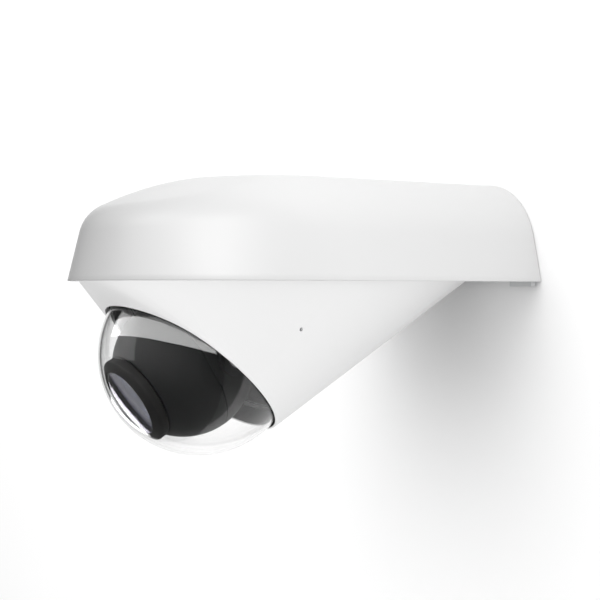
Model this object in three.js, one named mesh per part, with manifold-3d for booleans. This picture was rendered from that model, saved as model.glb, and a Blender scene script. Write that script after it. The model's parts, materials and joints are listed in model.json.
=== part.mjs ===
// Wall-mounted dome camera under a long weather hood.
// Millimetres. +Z is up, the wall is the plane Y = 0, the camera stands out towards -Y and
// X = 0 is the plane of symmetry. The camera is built with Z = 0 at the hood's lower rim, and
// the last lines lower it so that the origin is on the wall face.
import * as THREE from 'three';
import Module from 'manifold-3d';
import { mergeVertices } from 'three/addons/utils/BufferGeometryUtils.js';
import { ConvexGeometry } from 'three/addons/geometries/ConvexGeometry.js';

const wasm = await Module();
wasm.setup();
const radians = THREE.MathUtils.degToRad;

// ---------------------------------------------------------------- driving dimensions

// Clearance between pieces that rest on each other.
const GAP = 0.3;
const SHAFT_CLEARANCE = 0.4;
const WALL_GAP = 0.5;

// Height of the origin, on the wall face, above the hood's rim.
const ORIGIN_ABOVE_RIM = 8;

// Weather hood.
const HOOD_LENGTH = 236;
const HOOD_HALF_WIDTH = 75.5;
const HOOD_HEIGHT = 55;
const HOOD_NOSE = 117;
const HOOD_DRAFT = radians(13.8);
const HOOD_NOSE_DROP = 26;
const HOOD_SIDE_DROP = 3.75;
const HOOD_NOSE_FILLET = 20;
const HOOD_SIDE_FILLET = 38.85;
const HOOD_CROWN_TO_NOSE = 88.4;
const HOOD_WALL = 2.6;
const HOOD_BOSS_RADIUS = 4.5;
const HOOD_BOSS_TOP = 24;

// Lower housing: an oval under the hood lofted to the bubble's lip.
const HOUSING_NOSE_INSET = 5.2;
const HOUSING_SIDE_INSET = 4;
const HOUSING_WALL_INSET = 4.8;
const HOUSING_WALL = 2.6;
const DECK_BOTTOM = 0.6;
const DECK_THICKNESS = 3;
const DECK_EDGE_GAP = 0.4;

// Bubble and its lip. The bubble's axis leans out from the wall.
const AXIS_BELOW_HORIZON = radians(49.5);
const BUBBLE_TO_NOSE = 68.7;
const BUBBLE_BELOW_RIM = 37.8;
const BUBBLE_RADIUS = 52;
const BUBBLE_WALL = 1.6;
const FLANGE_WIDTH = 2;
const FLANGE_FRONT = -2.8;
const FLANGE_THICKNESS = 2.2;
const GASKET_THICKNESS = 1.2;
const LIP_FORWARD = 7.8;
const LIP_WALL = 1.2;
const LIP_ROUND = 0.5;
const RETAINER_DEPTH = 13.7;

// Ball and lens.
const BALL_FORWARD = 10.5;
const BALL_TO_BUBBLE = 3.4;
const BALL_WALL = 2;
const BALL_BACK = -7;
const SEAM_FORWARD = 12.8;
const LENS_TO_BUBBLE = 0.7;
const REST_TILT = radians(18.8);
const WINDOW_RADIUS = 23.3;
const GLASS_RADIUS = 18.4;
const GLASS_THICKNESS = 1.5;
const GLASS_CROWN = 1.9;
const BARREL_RADIUS = 15;
const BARREL_WALL = 3;
const BARREL_BACK = 6;
const CARRIER_AT = 17;
const CARRIER_THICKNESS = 2.5;
const SENSOR_BOARD = 30;
const FRONT_ELEMENT = { back: 31, backCrown: -2.2, front: 34.5, frontCrown: 3.6 };
const REAR_ELEMENT = { back: 10, backCrown: -1.5, front: 13, frontCrown: 2.2 };
const IRIS = { bore: 4.2, at: 21.5, thickness: 1 };

// Pan ring, bearing, yoke and base, stacked behind the ball.
const ARM_THICKNESS = 3.4;
const ARM_HALF_WIDTH = 9;
const ARM_TO_BALL = 0.8;
const FOOT_THICKNESS = 2.5;
const FOOT_REACH = 6.9;
const PIN_RADIUS = 2.5;
const PIN_HEAD_RADIUS = 5;
const PAN_RING_TOP = -18.4;
const PAN_RING_THICKNESS = 2.5;
const BEARING_THICKNESS = 1;
const BASE_WALL = 3;
const BASE_FLOOR_TOP = -34.5;
const BASE_FLOOR = 2.5;
const CABLE_HOLE = 9;
const CABLE_HOLE_UP = 28;

// Wall plate, frame and their fixings.
const PLATE_BACK = -1.8;
const PLATE_THICKNESS = 3;
const PLATE_EDGE_GAP = 0.6;
const FOOT_WIDTH = 17.2;
const FOOT_DROP = 2.5;
const ENTRY_HEIGHT = 24;
const ENTRY_RADIUS = 11.3;
const WALL_HOLE_RADIUS = 2.6;
const CABLE_RADIUS = 6;
const TAB_BOTTOM = 3.9;
const TAB_THICKNESS = 2.5;
const TAB_REACH = 19;
const TAB_WIDTH = 14;
const CHEEK_OFFSET = 43.5;
const CHEEK_THICKNESS = 2.5;
const FRAME_BOTTOM = 10;
const FRAME_TOP = 38;
const SEAT_UP = 44;
const SEAT_DOWN = 30;
const SEAT_THICKNESS = 2.3;

// Boards and what they carry.
const STANDOFF_LENGTH = 5.1;
const BOARD_HALF_WIDTH = 36;
const BOARD_UP = 40;
const BOARD_DOWN = 34;
const BOARD_THICKNESS = 1.6;
const STANDOFF_RADIUS = 2.9;
const CARD = { width: 11, length: 15, thickness: 0.9 };
const CARD_WINDOW_MARGIN = 1.5;
const PROCESSOR = { half: 8, from: -3, to: 13, height: 1.2 };
const SPREADER_MARGIN = 5;
const JACK = { x0: 14, x1: 35, y0: -14, y1: 2, height: 13.5, wall: 2 };

// Screws: shank radius, head radius and head height.
const M4 = { shank: 1.9, head: 3.6, height: 1.9 };
const M3 = { shank: 1.5, head: 3, height: 1.3 };
const M25 = { shank: 1.25, head: 2.4, height: 1.6 };
const LOCK_SCREW_BACK = 25.7;
const LOCK_SCREW_DOWN = 8.4;
const LOCK_SCREW_LENGTH = 10;
const LUG_RADIUS = 3.8;

// Facets round a full turn.
const FINE = 36;
const MEDIUM = 20;
const SMALL = 10;

// ---------------------------------------------------------------- sizes that follow

const CENTRE = new THREE.Vector3(0, -(HOOD_LENGTH - BUBBLE_TO_NOSE), -BUBBLE_BELOW_RIM);
const AXIS_TURN = Math.PI / 2 + AXIS_BELOW_HORIZON;
const FLANGE_RADIUS = BUBBLE_RADIUS + FLANGE_WIDTH;
const LIP_BORE = BUBBLE_RADIUS + SHAFT_CLEARANCE;
const LIP_RADIUS = LIP_BORE + LIP_WALL;
const RETAINER_TOP = FLANGE_FRONT - FLANGE_THICKNESS - GAP;
const BUBBLE_INSIDE = BUBBLE_RADIUS - BUBBLE_WALL;
const LENS_REACH = BUBBLE_INSIDE - LENS_TO_BUBBLE;
const BALL_RADIUS = BUBBLE_INSIDE - BALL_FORWARD - BALL_TO_BUBBLE;
const BALL_FLAT = Math.sqrt(BALL_RADIUS ** 2 - BALL_FORWARD ** 2) + 0.4;
const ARM_INNER = BALL_FLAT + ARM_TO_BALL;
const ARM_OUTER = ARM_INNER + ARM_THICKNESS;
const BALL_FRONT = BALL_FORWARD + Math.sqrt(BALL_RADIUS ** 2 - WINDOW_RADIUS ** 2);
const WINDOW_EDGE = Math.sqrt(LENS_REACH ** 2 - WINDOW_RADIUS ** 2);
const WINDOW_FRONT = Math.sqrt(LENS_REACH ** 2 - GLASS_RADIUS ** 2);
const BASE_RADIUS = BUBBLE_RADIUS - 2;
const PAN_RING_INNER = Math.hypot(ARM_OUTER, ARM_HALF_WIDTH) + GAP;
const PAN_RING_OUTER = BASE_RADIUS - 0.8;
const PAN_RING_BOTTOM = PAN_RING_TOP - PAN_RING_THICKNESS;
const BEARING_TOP = PAN_RING_BOTTOM - GAP;
const BASE_TOP = BEARING_TOP - BEARING_THICKNESS - GAP;
const BASE_BOTTOM = BASE_FLOOR_TOP - BASE_FLOOR;
const SEAT_TOP = BASE_BOTTOM - GAP;
const SEAT_BOTTOM = SEAT_TOP - SEAT_THICKNESS;
const STANDOFF_TOP = SEAT_BOTTOM - GAP;
const BOARD_TOP = STANDOFF_TOP - STANDOFF_LENGTH - GAP;
const BOARD_BOTTOM = BOARD_TOP - BOARD_THICKNESS;
const MOUNTED_TOP = BOARD_BOTTOM - GAP;
const PLATE_FRONT = PLATE_BACK - PLATE_THICKNESS;
const FRAME_BACK = PLATE_FRONT - GAP;
const DECK_TOP = DECK_BOTTOM + DECK_THICKNESS;
const TAB_TOP = TAB_BOTTOM + TAB_THICKNESS;
const HOOD_SCREW = { x: HOOD_HALF_WIDTH - 16.5, y: -16 };
const BASE_SCREWS = [[-29, -24], [29, -24], [-29, 29], [29, 29]];
const FRAME_SCREWS = [[-34, 15], [34, 15], [-34, 33], [34, 33]];
const WALL_HOLES = [[-52, 20], [52, 20], [-22, 43], [22, 43]];
const STANDOFFS = [[-32, -24], [32, -24], [-32, 34], [32, 34]];
const YOKE_SCREW_X = ARM_OUTER + FOOT_REACH / 2;

// ---------------------------------------------------------------- solids

// One closed mesh with shared vertices and outward faces, from any closed geometry.
function closed(geometry) {
  const bare = geometry.clone();
  bare.deleteAttribute('normal');
  bare.deleteAttribute('uv');
  const merged = mergeVertices(bare, 1e-4);
  const index = merged.index.array;
  const kept = [];
  for (let i = 0; i < index.length; i += 3) {
    const [a, b, c] = [index[i], index[i + 1], index[i + 2]];
    if (a !== b && b !== c && a !== c) kept.push(a, b, c);
  }
  merged.setIndex(signedVolume(merged, kept) < 0 ? reversed(kept) : kept);
  return merged;
}

function signedVolume(geometry, index) {
  const p = [0, 1, 2].map(() => new THREE.Vector3());
  let sum = 0;
  for (let i = 0; i < index.length; i += 3) {
    p.forEach((corner, k) => corner.fromBufferAttribute(geometry.attributes.position, index[i + k]));
    sum += p[0].dot(p[1].clone().cross(p[2]));
  }
  return sum / 6;
}

function reversed(index) {
  const out = [];
  for (let i = 0; i < index.length; i += 3) out.push(index[i], index[i + 2], index[i + 1]);
  return out;
}

function solid(geometry) {
  const mesh = closed(geometry);
  return new wasm.Manifold(new wasm.Mesh({
    numProp: 3,
    vertProperties: new Float32Array(mesh.attributes.position.array),
    triVerts: new Uint32Array(mesh.index.array),
  }));
}

function surface(manifold) {
  const mesh = manifold.getMesh();
  const geometry = new THREE.BufferGeometry();
  geometry.setAttribute('position', new THREE.BufferAttribute(new Float32Array(mesh.vertProperties), 3));
  geometry.setIndex([...mesh.triVerts]);
  return geometry;
}

// A solid of revolution about Z from [radius, height] points, closed on itself.
function turned(points, facets = FINE) {
  const profile = [...points, points[0]].map(([r, z]) => new THREE.Vector2(r, z));
  return new THREE.LatheGeometry(profile, facets).rotateX(Math.PI / 2);
}

function ring(inner, outer, bottom, top, facets = FINE) {
  return turned([[inner, bottom], [outer, bottom], [outer, top], [inner, top]], facets);
}

function rod(radius, bottom, top, facets = SMALL) {
  const height = top - bottom;
  return new THREE.CylinderGeometry(radius, radius, height, facets)
    .rotateX(Math.PI / 2).translate(0, 0, bottom + height / 2);
}

// A rod along X at height (y, z).
function crossRod(radius, from, to, y = 0, z = 0, facets = SMALL) {
  return rod(radius, Math.min(from, to), Math.max(from, to), facets).rotateY(Math.PI / 2).translate(0, y, z);
}

// A rod along Y at (x, z).
function wallRod(radius, from, to, x, z, facets = SMALL) {
  return rod(radius, from, to, facets).rotateX(-Math.PI / 2).translate(x, 0, z);
}

function block(x0, x1, y0, y1, z0, z1) {
  return new THREE.BoxGeometry(x1 - x0, y1 - y0, z1 - z0)
    .translate((x0 + x1) / 2, (y0 + y1) / 2, (z0 + z1) / 2);
}

function cut(base, ...tools) {
  return tools.reduce((left, tool) => left.subtract(solid(tool)), base);
}

function joined(base, ...extras) {
  return extras.reduce((left, extra) => left.add(solid(extra)), base);
}

// ---------------------------------------------------------------- the hood's shape

// One half section of the hood, from the rim up to the crown line: a drafted wall, a round
// shoulder and a top that falls as the square of the distance from the crown.
function hoodSection(reach, height, drop, fillet, rimAt, arcSteps = 6, topSteps = 4) {
  const slope = Math.tan(HOOD_DRAFT);
  const topAt = (s) => height - drop * (s / reach) ** 2;
  const topSlope = (s) => -2 * drop * s / reach ** 2;
  const centreAt = (s) => {
    const length = Math.hypot(1, topSlope(s));
    return [s + fillet * topSlope(s) / length, topAt(s) - fillet / length];
  };
  const miss = (s) => {
    const [x, z] = centreAt(s);
    return x - (reach - z * slope - fillet / Math.cos(HOOD_DRAFT));
  };
  let [low, high] = [0, reach];
  for (let i = 0; i < 40; i += 1) {
    const middle = (low + high) / 2;
    if (miss(middle) < 0) low = middle;
    else high = middle;
  }
  const [x, z] = centreAt(low);
  const end = Math.atan2(1, -topSlope(low));
  const points = [[reach - rimAt * slope, rimAt]];
  for (let i = 0; i <= arcSteps; i += 1) {
    const angle = HOOD_DRAFT + (end - HOOD_DRAFT) * i / arcSteps;
    points.push([x + fillet * Math.cos(angle), z + fillet * Math.sin(angle)]);
  }
  for (let i = 1; i <= topSteps; i += 1) {
    const s = low * (1 - i / topSteps);
    points.push([s, topAt(s)]);
  }
  return points;
}

// The stations round one half of the hood's plan, inset by a wall thickness. Each has its
// foot on the crown line, its direction, its reach and its section's drop and shoulder.
function hoodStations(inset, backAt, straightSteps = 2, noseSteps = 11) {
  const halfWidth = HOOD_HALF_WIDTH - inset;
  const noseStart = -(HOOD_LENGTH - HOOD_NOSE);
  const crownEnd = -(HOOD_LENGTH - HOOD_CROWN_TO_NOSE);
  const rim = [];
  for (let i = 0; i <= straightSteps; i += 1) {
    rim.push(new THREE.Vector2(halfWidth, backAt + (noseStart - backAt) * i / straightSteps));
  }
  for (let i = 1; i <= noseSteps; i += 1) {
    const angle = (Math.PI / 2) * i / noseSteps;
    const across = i === noseSteps ? 0 : halfWidth * Math.cos(angle);
    rim.push(new THREE.Vector2(across, noseStart - (HOOD_NOSE - inset) * Math.sin(angle)));
  }
  return rim.map((point) => {
    const foot = new THREE.Vector2(0, Math.max(point.y, crownEnd));
    const reach = point.distanceTo(foot);
    const blend = THREE.MathUtils.smoothstep(noseStart - point.y, 0, HOOD_NOSE);
    return {
      foot,
      along: point.clone().sub(foot).divideScalar(reach),
      reach,
      drop: HOOD_SIDE_DROP + (HOOD_NOSE_DROP - HOOD_SIDE_DROP) * blend,
      fillet: HOOD_SIDE_FILLET + (HOOD_NOSE_FILLET - HOOD_SIDE_FILLET) * blend - inset,
    };
  });
}

// The hood's closed outer form, or its inner form when inset, cut flat at rimAt and backAt.
function hoodForm(inset, rimAt, backAt) {
  const rows = hoodStations(inset, backAt).map((station) => {
    const section = hoodSection(station.reach, HOOD_HEIGHT - inset, station.drop, station.fillet, rimAt);
    return section.map(([s, z]) => new THREE.Vector3(
      station.foot.x + station.along.x * s,
      station.foot.y + station.along.y * s,
      z,
    ));
  });
  const mirror = (point) => new THREE.Vector3(-point.x, point.y, point.z);
  const corners = [];
  const quad = (a, b, c, d) => corners.push(a, b, c, a, c, d);
  for (let i = 0; i < rows.length - 1; i += 1) {
    const [row, next] = [rows[i], rows[i + 1]];
    for (let j = 0; j < row.length - 1; j += 1) {
      quad(row[j], row[j + 1], next[j + 1], next[j]);
      quad(mirror(next[j]), mirror(next[j + 1]), mirror(row[j + 1]), mirror(row[j]));
    }
    quad(row[0], next[0], mirror(next[0]), mirror(row[0]));
  }
  const back = rows[0];
  for (let j = 0; j < back.length - 1; j += 1) {
    quad(back[j], mirror(back[j]), mirror(back[j + 1]), back[j + 1]);
  }
  return new THREE.BufferGeometry().setFromPoints(corners);
}

// The hood's inner plan outline at a height, with a clearance, as a flat shape.
function planOutline(height, clearance, backAt) {
  const right = hoodStations(HOOD_WALL, backAt).map((station) => {
    const reach = station.reach - height * Math.tan(HOOD_DRAFT) - clearance;
    return new THREE.Vector2(
      station.along.x * reach + station.foot.x,
      station.along.y * reach + station.foot.y,
    );
  });
  const left = right.slice(0, -1).reverse().map((point) => new THREE.Vector2(-point.x, point.y));
  return new THREE.Shape([...right, ...left]);
}

// The hood's inner section at the wall with a clearance, from a height upwards, as a flat shape.
function wallOutline(clearance, bottom) {
  const { reach, drop, fillet } = hoodStations(HOOD_WALL + clearance, 0)[0];
  const height = HOOD_HEIGHT - HOOD_WALL - clearance;
  const right = hoodSection(reach, height, drop, fillet, bottom).map(([x, z]) => new THREE.Vector2(x, z));
  const left = right.slice(0, -1).reverse().map((point) => new THREE.Vector2(-point.x, point.y));
  return new THREE.Shape([...right, ...left]);
}

// A flat shape drawn in X and Z, with its thickness from y0 to y1.
function uprightPlate(shape, y0, y1) {
  return new THREE.ExtrudeGeometry(shape, { depth: y1 - y0, bevelEnabled: false, curveSegments: SMALL })
    .rotateX(Math.PI / 2).translate(0, y1, 0);
}

// A flat shape drawn in Y and Z, with its thickness along X from a given place.
function sidePlate(shape, from, thickness) {
  return new THREE.ExtrudeGeometry(shape, { depth: thickness, bevelEnabled: false, curveSegments: SMALL })
    .rotateX(Math.PI / 2).rotateZ(Math.PI / 2).translate(from, 0, 0);
}

// ---------------------------------------------------------------- the housing's shape

const domeFrame = new THREE.Group();
domeFrame.position.copy(CENTRE);
domeFrame.rotation.x = AXIS_TURN;
domeFrame.updateMatrixWorld(true);

const inHousing = (geometry) => geometry.applyMatrix4(domeFrame.matrixWorld);

// Points on the oval at a height and on a circle square to the bubble's axis.
function ovalPoints(inset, height, steps = FINE) {
  const front = -(HOOD_LENGTH - HOUSING_NOSE_INSET - inset);
  const rear = -(HOUSING_WALL_INSET + inset);
  const half = HOOD_HALF_WIDTH - HOUSING_SIDE_INSET - inset;
  return Array.from({ length: steps }, (_, i) => {
    const angle = 2 * Math.PI * i / steps;
    const along = (front + rear) / 2 + (rear - front) / 2 * Math.sin(angle);
    return new THREE.Vector3(half * Math.cos(angle), along, height);
  });
}

function axisCircle(radius, forward, steps = FINE) {
  return Array.from({ length: steps }, (_, i) => {
    const angle = 2 * Math.PI * i / steps;
    const point = new THREE.Vector3(radius * Math.cos(angle), radius * Math.sin(angle), forward);
    return point.applyMatrix4(domeFrame.matrixWorld);
  });
}

const housingOuter = new ConvexGeometry([
  ...ovalPoints(0, DECK_BOTTOM),
  ...axisCircle(LIP_RADIUS, LIP_FORWARD - LIP_ROUND),
  ...axisCircle(LIP_RADIUS - LIP_ROUND, LIP_FORWARD),
]);

const housingCavity = new ConvexGeometry([
  ...ovalPoints(HOUSING_WALL, DECK_TOP + 2),
  ...axisCircle(FLANGE_RADIUS + SHAFT_CLEARANCE, FLANGE_FRONT + GASKET_THICKNESS + 2 * GAP),
]);

// How far out a surface lies from X = 0, level with a point of the dome's frame.
function reachOf(form, up, forward) {
  const at = new THREE.Vector3(0, up, forward).applyMatrix4(domeFrame.matrixWorld);
  const ray = new THREE.Raycaster(new THREE.Vector3(500, at.y, at.z), new THREE.Vector3(-1, 0, 0));
  const hits = ray.intersectObject(new THREE.Mesh(form));
  return hits[0].point.x;
}

// The base's lugs stop where their edges would meet the housing's inner skin.
const LOCK_REACH = reachOf(housingOuter, -LOCK_SCREW_DOWN, -LOCK_SCREW_BACK);
const LUG_OUTER = Math.min(...Array.from({ length: SMALL }, (_, i) => {
  const angle = 2 * Math.PI * i / SMALL;
  const up = LUG_RADIUS * Math.cos(angle) - LOCK_SCREW_DOWN;
  return reachOf(housingCavity, up, LUG_RADIUS * Math.sin(angle) - LOCK_SCREW_BACK);
})) - GAP;

function lockRod(radius, from, to, side) {
  return crossRod(radius, side * from, side * to, -LOCK_SCREW_DOWN, -LOCK_SCREW_BACK);
}

// ---------------------------------------------------------------- shells

function weatherHood() {
  const outer = solid(hoodForm(0, 0, -WALL_GAP));
  let hood = outer.subtract(solid(hoodForm(HOOD_WALL, -4, 4)));
  for (const side of [-1, 1]) {
    const atScrew = (geometry) => geometry.translate(side * HOOD_SCREW.x, HOOD_SCREW.y, 0);
    const boss = solid(atScrew(rod(HOOD_BOSS_RADIUS, TAB_TOP + GAP, HOOD_HEIGHT)));
    hood = hood.add(boss.intersect(outer));
    hood = cut(hood, atScrew(rod(M3.shank + SHAFT_CLEARANCE, 0, HOOD_BOSS_TOP)));
  }
  return surface(hood);
}

function deckPlate() {
  const outline = planOutline(DECK_TOP, DECK_EDGE_GAP, PLATE_FRONT - PLATE_EDGE_GAP);
  return new THREE.ExtrudeGeometry(outline, { depth: DECK_THICKNESS, bevelEnabled: false })
    .translate(0, 0, DECK_BOTTOM);
}

function lowerHousing() {
  let housing = joined(solid(housingOuter), deckPlate()).subtract(solid(housingCavity));
  for (const side of [-1, 1]) {
    const pad = solid(inHousing(lockRod(LUG_RADIUS, LUG_OUTER + GAP, LOCK_REACH + 2, side)));
    housing = housing.add(pad.intersect(solid(housingOuter)));
    housing = cut(
      housing,
      inHousing(lockRod(M3.shank + 0.2, LUG_OUTER - 5, LOCK_REACH + 5, side)),
      rod(M3.head + SHAFT_CLEARANCE, 0, DECK_BOTTOM + M3.height + GAP)
        .translate(side * HOOD_SCREW.x, HOOD_SCREW.y, 0),
      rod(M3.shank + SHAFT_CLEARANCE, 0, DECK_TOP + 2).translate(side * HOOD_SCREW.x, HOOD_SCREW.y, 0),
    );
  }
  const wallSide = block(-200, 200, PLATE_FRONT - PLATE_EDGE_GAP, 20, -200, 50);
  return surface(cut(housing, inHousing(rod(LIP_BORE, FLANGE_FRONT, LIP_FORWARD + 5, FINE)), wallSide));
}

// The bubble: a hemisphere, a short skirt and a flange, in the dome's frame.
function domeBubble(steps = 8) {
  const outer = [];
  const inner = [];
  for (let i = 0; i <= steps; i += 1) {
    const angle = (Math.PI / 2) * i / steps;
    outer.push([BUBBLE_RADIUS * Math.cos(angle), BUBBLE_RADIUS * Math.sin(angle)]);
    inner.push([BUBBLE_INSIDE * Math.cos(angle), BUBBLE_INSIDE * Math.sin(angle)]);
  }
  outer[steps][0] = 0;
  inner[steps][0] = 0;
  const back = FLANGE_FRONT - FLANGE_THICKNESS;
  return turned([
    ...inner.reverse(),
    [BUBBLE_INSIDE, back],
    [FLANGE_RADIUS, back],
    [FLANGE_RADIUS, FLANGE_FRONT],
    [BUBBLE_RADIUS, FLANGE_FRONT],
    ...outer,
  ]);
}

const domeGasket = () => ring(
  LIP_BORE + 0.1, FLANGE_RADIUS, FLANGE_FRONT + GAP, FLANGE_FRONT + GAP + GASKET_THICKNESS,
);

const bubbleRetainer = () => ring(
  BUBBLE_INSIDE + 0.2, FLANGE_RADIUS, RETAINER_TOP - RETAINER_DEPTH, RETAINER_TOP,
);

// ---------------------------------------------------------------- wall side

function wallPlate() {
  let plate = solid(uprightPlate(wallOutline(PLATE_EDGE_GAP, DECK_BOTTOM), PLATE_FRONT, PLATE_BACK));
  const edge = HOOD_HALF_WIDTH - HOOD_WALL - PLATE_EDGE_GAP;
  for (const side of [-1, 1]) {
    const foot = [side * (edge - FOOT_WIDTH), side * edge].sort((a, b) => a - b);
    const tab = [side * HOOD_SCREW.x - TAB_WIDTH / 2, side * HOOD_SCREW.x + TAB_WIDTH / 2];
    plate = joined(
      plate,
      block(foot[0], foot[1], PLATE_FRONT, PLATE_BACK, -FOOT_DROP, DECK_BOTTOM + 1),
      block(tab[0], tab[1], PLATE_FRONT - TAB_REACH, PLATE_BACK - 1, TAB_BOTTOM, TAB_TOP),
    );
    plate = cut(
      plate,
      rod(M3.shank + SHAFT_CLEARANCE, 0, TAB_TOP + 2).translate(side * HOOD_SCREW.x, HOOD_SCREW.y, 0),
    );
  }
  plate = cut(plate, wallRod(ENTRY_RADIUS, PLATE_FRONT - 2, 2, 0, ENTRY_HEIGHT, MEDIUM));
  for (const [x, z] of FRAME_SCREWS) {
    plate = cut(plate, wallRod(M4.shank + SHAFT_CLEARANCE, PLATE_FRONT - 2, 2, x, z));
  }
  for (const [x, z] of WALL_HOLES) {
    plate = cut(plate, wallRod(WALL_HOLE_RADIUS, PLATE_FRONT - 2, 2, x, z));
  }
  return surface(plate);
}

function wallGasket() {
  const sheet = solid(uprightPlate(wallOutline(PLATE_EDGE_GAP + 3, TAB_BOTTOM), PLATE_BACK + GAP, 0));
  const holes = WALL_HOLES.map(([x, z]) => wallRod(WALL_HOLE_RADIUS + 0.6, -4, 2, x, z));
  return surface(cut(sheet, wallRod(ENTRY_RADIUS, -4, 2, 0, ENTRY_HEIGHT, MEDIUM), ...holes));
}

function cableGrommet() {
  const body = ENTRY_RADIUS - SHAFT_CLEARANCE;
  const profile = [
    [CABLE_RADIUS, 0], [body, 0], [body, PLATE_THICKNESS + GAP],
    [body + 2.5, PLATE_THICKNESS + GAP], [body + 1.5, PLATE_THICKNESS + 2.6],
    [CABLE_RADIUS, PLATE_THICKNESS + 3.2],
  ];
  return turned(profile, MEDIUM).rotateX(Math.PI / 2).translate(0, PLATE_BACK, ENTRY_HEIGHT);
}

// The frame: a flange on the wall plate, two cheeks and a seat square to the bubble's axis.
function mountingFrame() {
  const seatPoint = (up) => {
    const point = new THREE.Vector3(0, up, (SEAT_TOP + SEAT_BOTTOM) / 2).applyMatrix4(domeFrame.matrixWorld);
    return [point.y, point.z];
  };
  const cheek = new THREE.Shape([
    [FRAME_BACK, FRAME_BOTTOM], [-38, 8], seatPoint(-SEAT_DOWN), seatPoint(SEAT_UP),
    [CENTRE.y + 17, FRAME_TOP], [FRAME_BACK, FRAME_TOP],
  ].map(([y, z]) => new THREE.Vector2(y, z)));
  let frame = solid(block(
    -CHEEK_OFFSET, CHEEK_OFFSET, FRAME_BACK - CHEEK_THICKNESS, FRAME_BACK, FRAME_BOTTOM, FRAME_TOP,
  ));
  for (const from of [-CHEEK_OFFSET, CHEEK_OFFSET - CHEEK_THICKNESS]) {
    frame = joined(frame, sidePlate(cheek, from, CHEEK_THICKNESS));
  }
  frame = joined(frame, inHousing(block(
    -CHEEK_OFFSET, CHEEK_OFFSET, -SEAT_DOWN, SEAT_UP, SEAT_BOTTOM, SEAT_TOP,
  )));
  frame = cut(frame, wallRod(ENTRY_RADIUS + 5, FRAME_BACK - 6, 0, 0, ENTRY_HEIGHT, MEDIUM));
  const cableHole = rod(CABLE_HOLE, SEAT_BOTTOM - 4, SEAT_TOP + 4, MEDIUM);
  frame = cut(frame, inHousing(cableHole.translate(0, CABLE_HOLE_UP, 0)));
  for (const [x, z] of FRAME_SCREWS) {
    frame = cut(frame, wallRod(M4.shank + SHAFT_CLEARANCE, FRAME_BACK - 6, 0, x, z));
  }
  for (const [x, up] of BASE_SCREWS) {
    const hole = rod(M3.shank + SHAFT_CLEARANCE, SEAT_BOTTOM - 4, SEAT_TOP + 4).translate(x, up, 0);
    frame = cut(frame, inHousing(hole));
  }
  // The memory card leaves through a window in the left cheek.
  const reach = CARD.width / 2 + CARD_WINDOW_MARGIN;
  return surface(cut(frame, inHousing(block(
    -CHEEK_OFFSET - 2, CHEEK_THICKNESS + 2 - CHEEK_OFFSET, CARD_SPAN.y - reach, CARD_SPAN.y + reach,
    CARD_PLANE - CARD_WINDOW_MARGIN, CARD_PLANE + CARD_WINDOW_MARGIN,
  ))));
}

// A pan-head screw along Z: the head's underside at z = 0, the shank below it.
function screw(size, length) {
  return turned([
    [0, -length], [size.shank, -length], [size.shank, 0], [size.head, 0],
    [size.head, size.height * 0.6], [size.head * 0.8, size.height], [0, size.height],
  ], SMALL);
}

// A headless lock screw along Z with a key socket in its outer end.
function lockScrew() {
  return turned([
    [0, -LOCK_SCREW_LENGTH], [M3.shank * 0.6, -LOCK_SCREW_LENGTH], [M3.shank, 0.8 - LOCK_SCREW_LENGTH],
    [M3.shank, -0.3], [M3.shank - 0.3, 0], [0.8, 0], [0.8, -1.4], [0, -1.4],
  ], SMALL);
}

// ---------------------------------------------------------------- base, pan and yoke

function domeBase() {
  let base = solid(turned([
    [0, BASE_BOTTOM], [BASE_RADIUS, BASE_BOTTOM], [BASE_RADIUS, BASE_TOP],
    [BASE_RADIUS - BASE_WALL, BASE_TOP], [BASE_RADIUS - BASE_WALL, BASE_FLOOR_TOP], [0, BASE_FLOOR_TOP],
  ]));
  for (const side of [-1, 1]) {
    base = joined(base, lockRod(LUG_RADIUS, BASE_RADIUS - 0.8, LUG_OUTER, side));
    base = cut(base, lockRod(M3.shank + SHAFT_CLEARANCE, BASE_RADIUS - BASE_WALL - 4, LUG_OUTER + 4, side));
  }
  base = cut(base, rod(CABLE_HOLE, BASE_BOTTOM - 4, BASE_FLOOR_TOP + 4, MEDIUM).translate(0, CABLE_HOLE_UP, 0));
  const holes = BASE_SCREWS.map(([x, up]) => (
    rod(M3.shank + SHAFT_CLEARANCE, BASE_BOTTOM - 4, BASE_FLOOR_TOP + 4).translate(x, up, 0)
  ));
  return surface(cut(base, ...holes));
}

const bearingRing = () => ring(
  BASE_RADIUS - BASE_WALL - 0.2, BASE_RADIUS - 0.6, BEARING_TOP - BEARING_THICKNESS, BEARING_TOP,
);

function panRing() {
  const base = solid(ring(PAN_RING_INNER, PAN_RING_OUTER, PAN_RING_BOTTOM, PAN_RING_TOP));
  const holes = [-1, 1].map((side) => (
    rod(M25.shank + SHAFT_CLEARANCE, PAN_RING_BOTTOM - 2, PAN_RING_TOP + 2)
      .translate(side * YOKE_SCREW_X, 0, 0)
  ));
  return surface(cut(base, ...holes));
}

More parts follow.
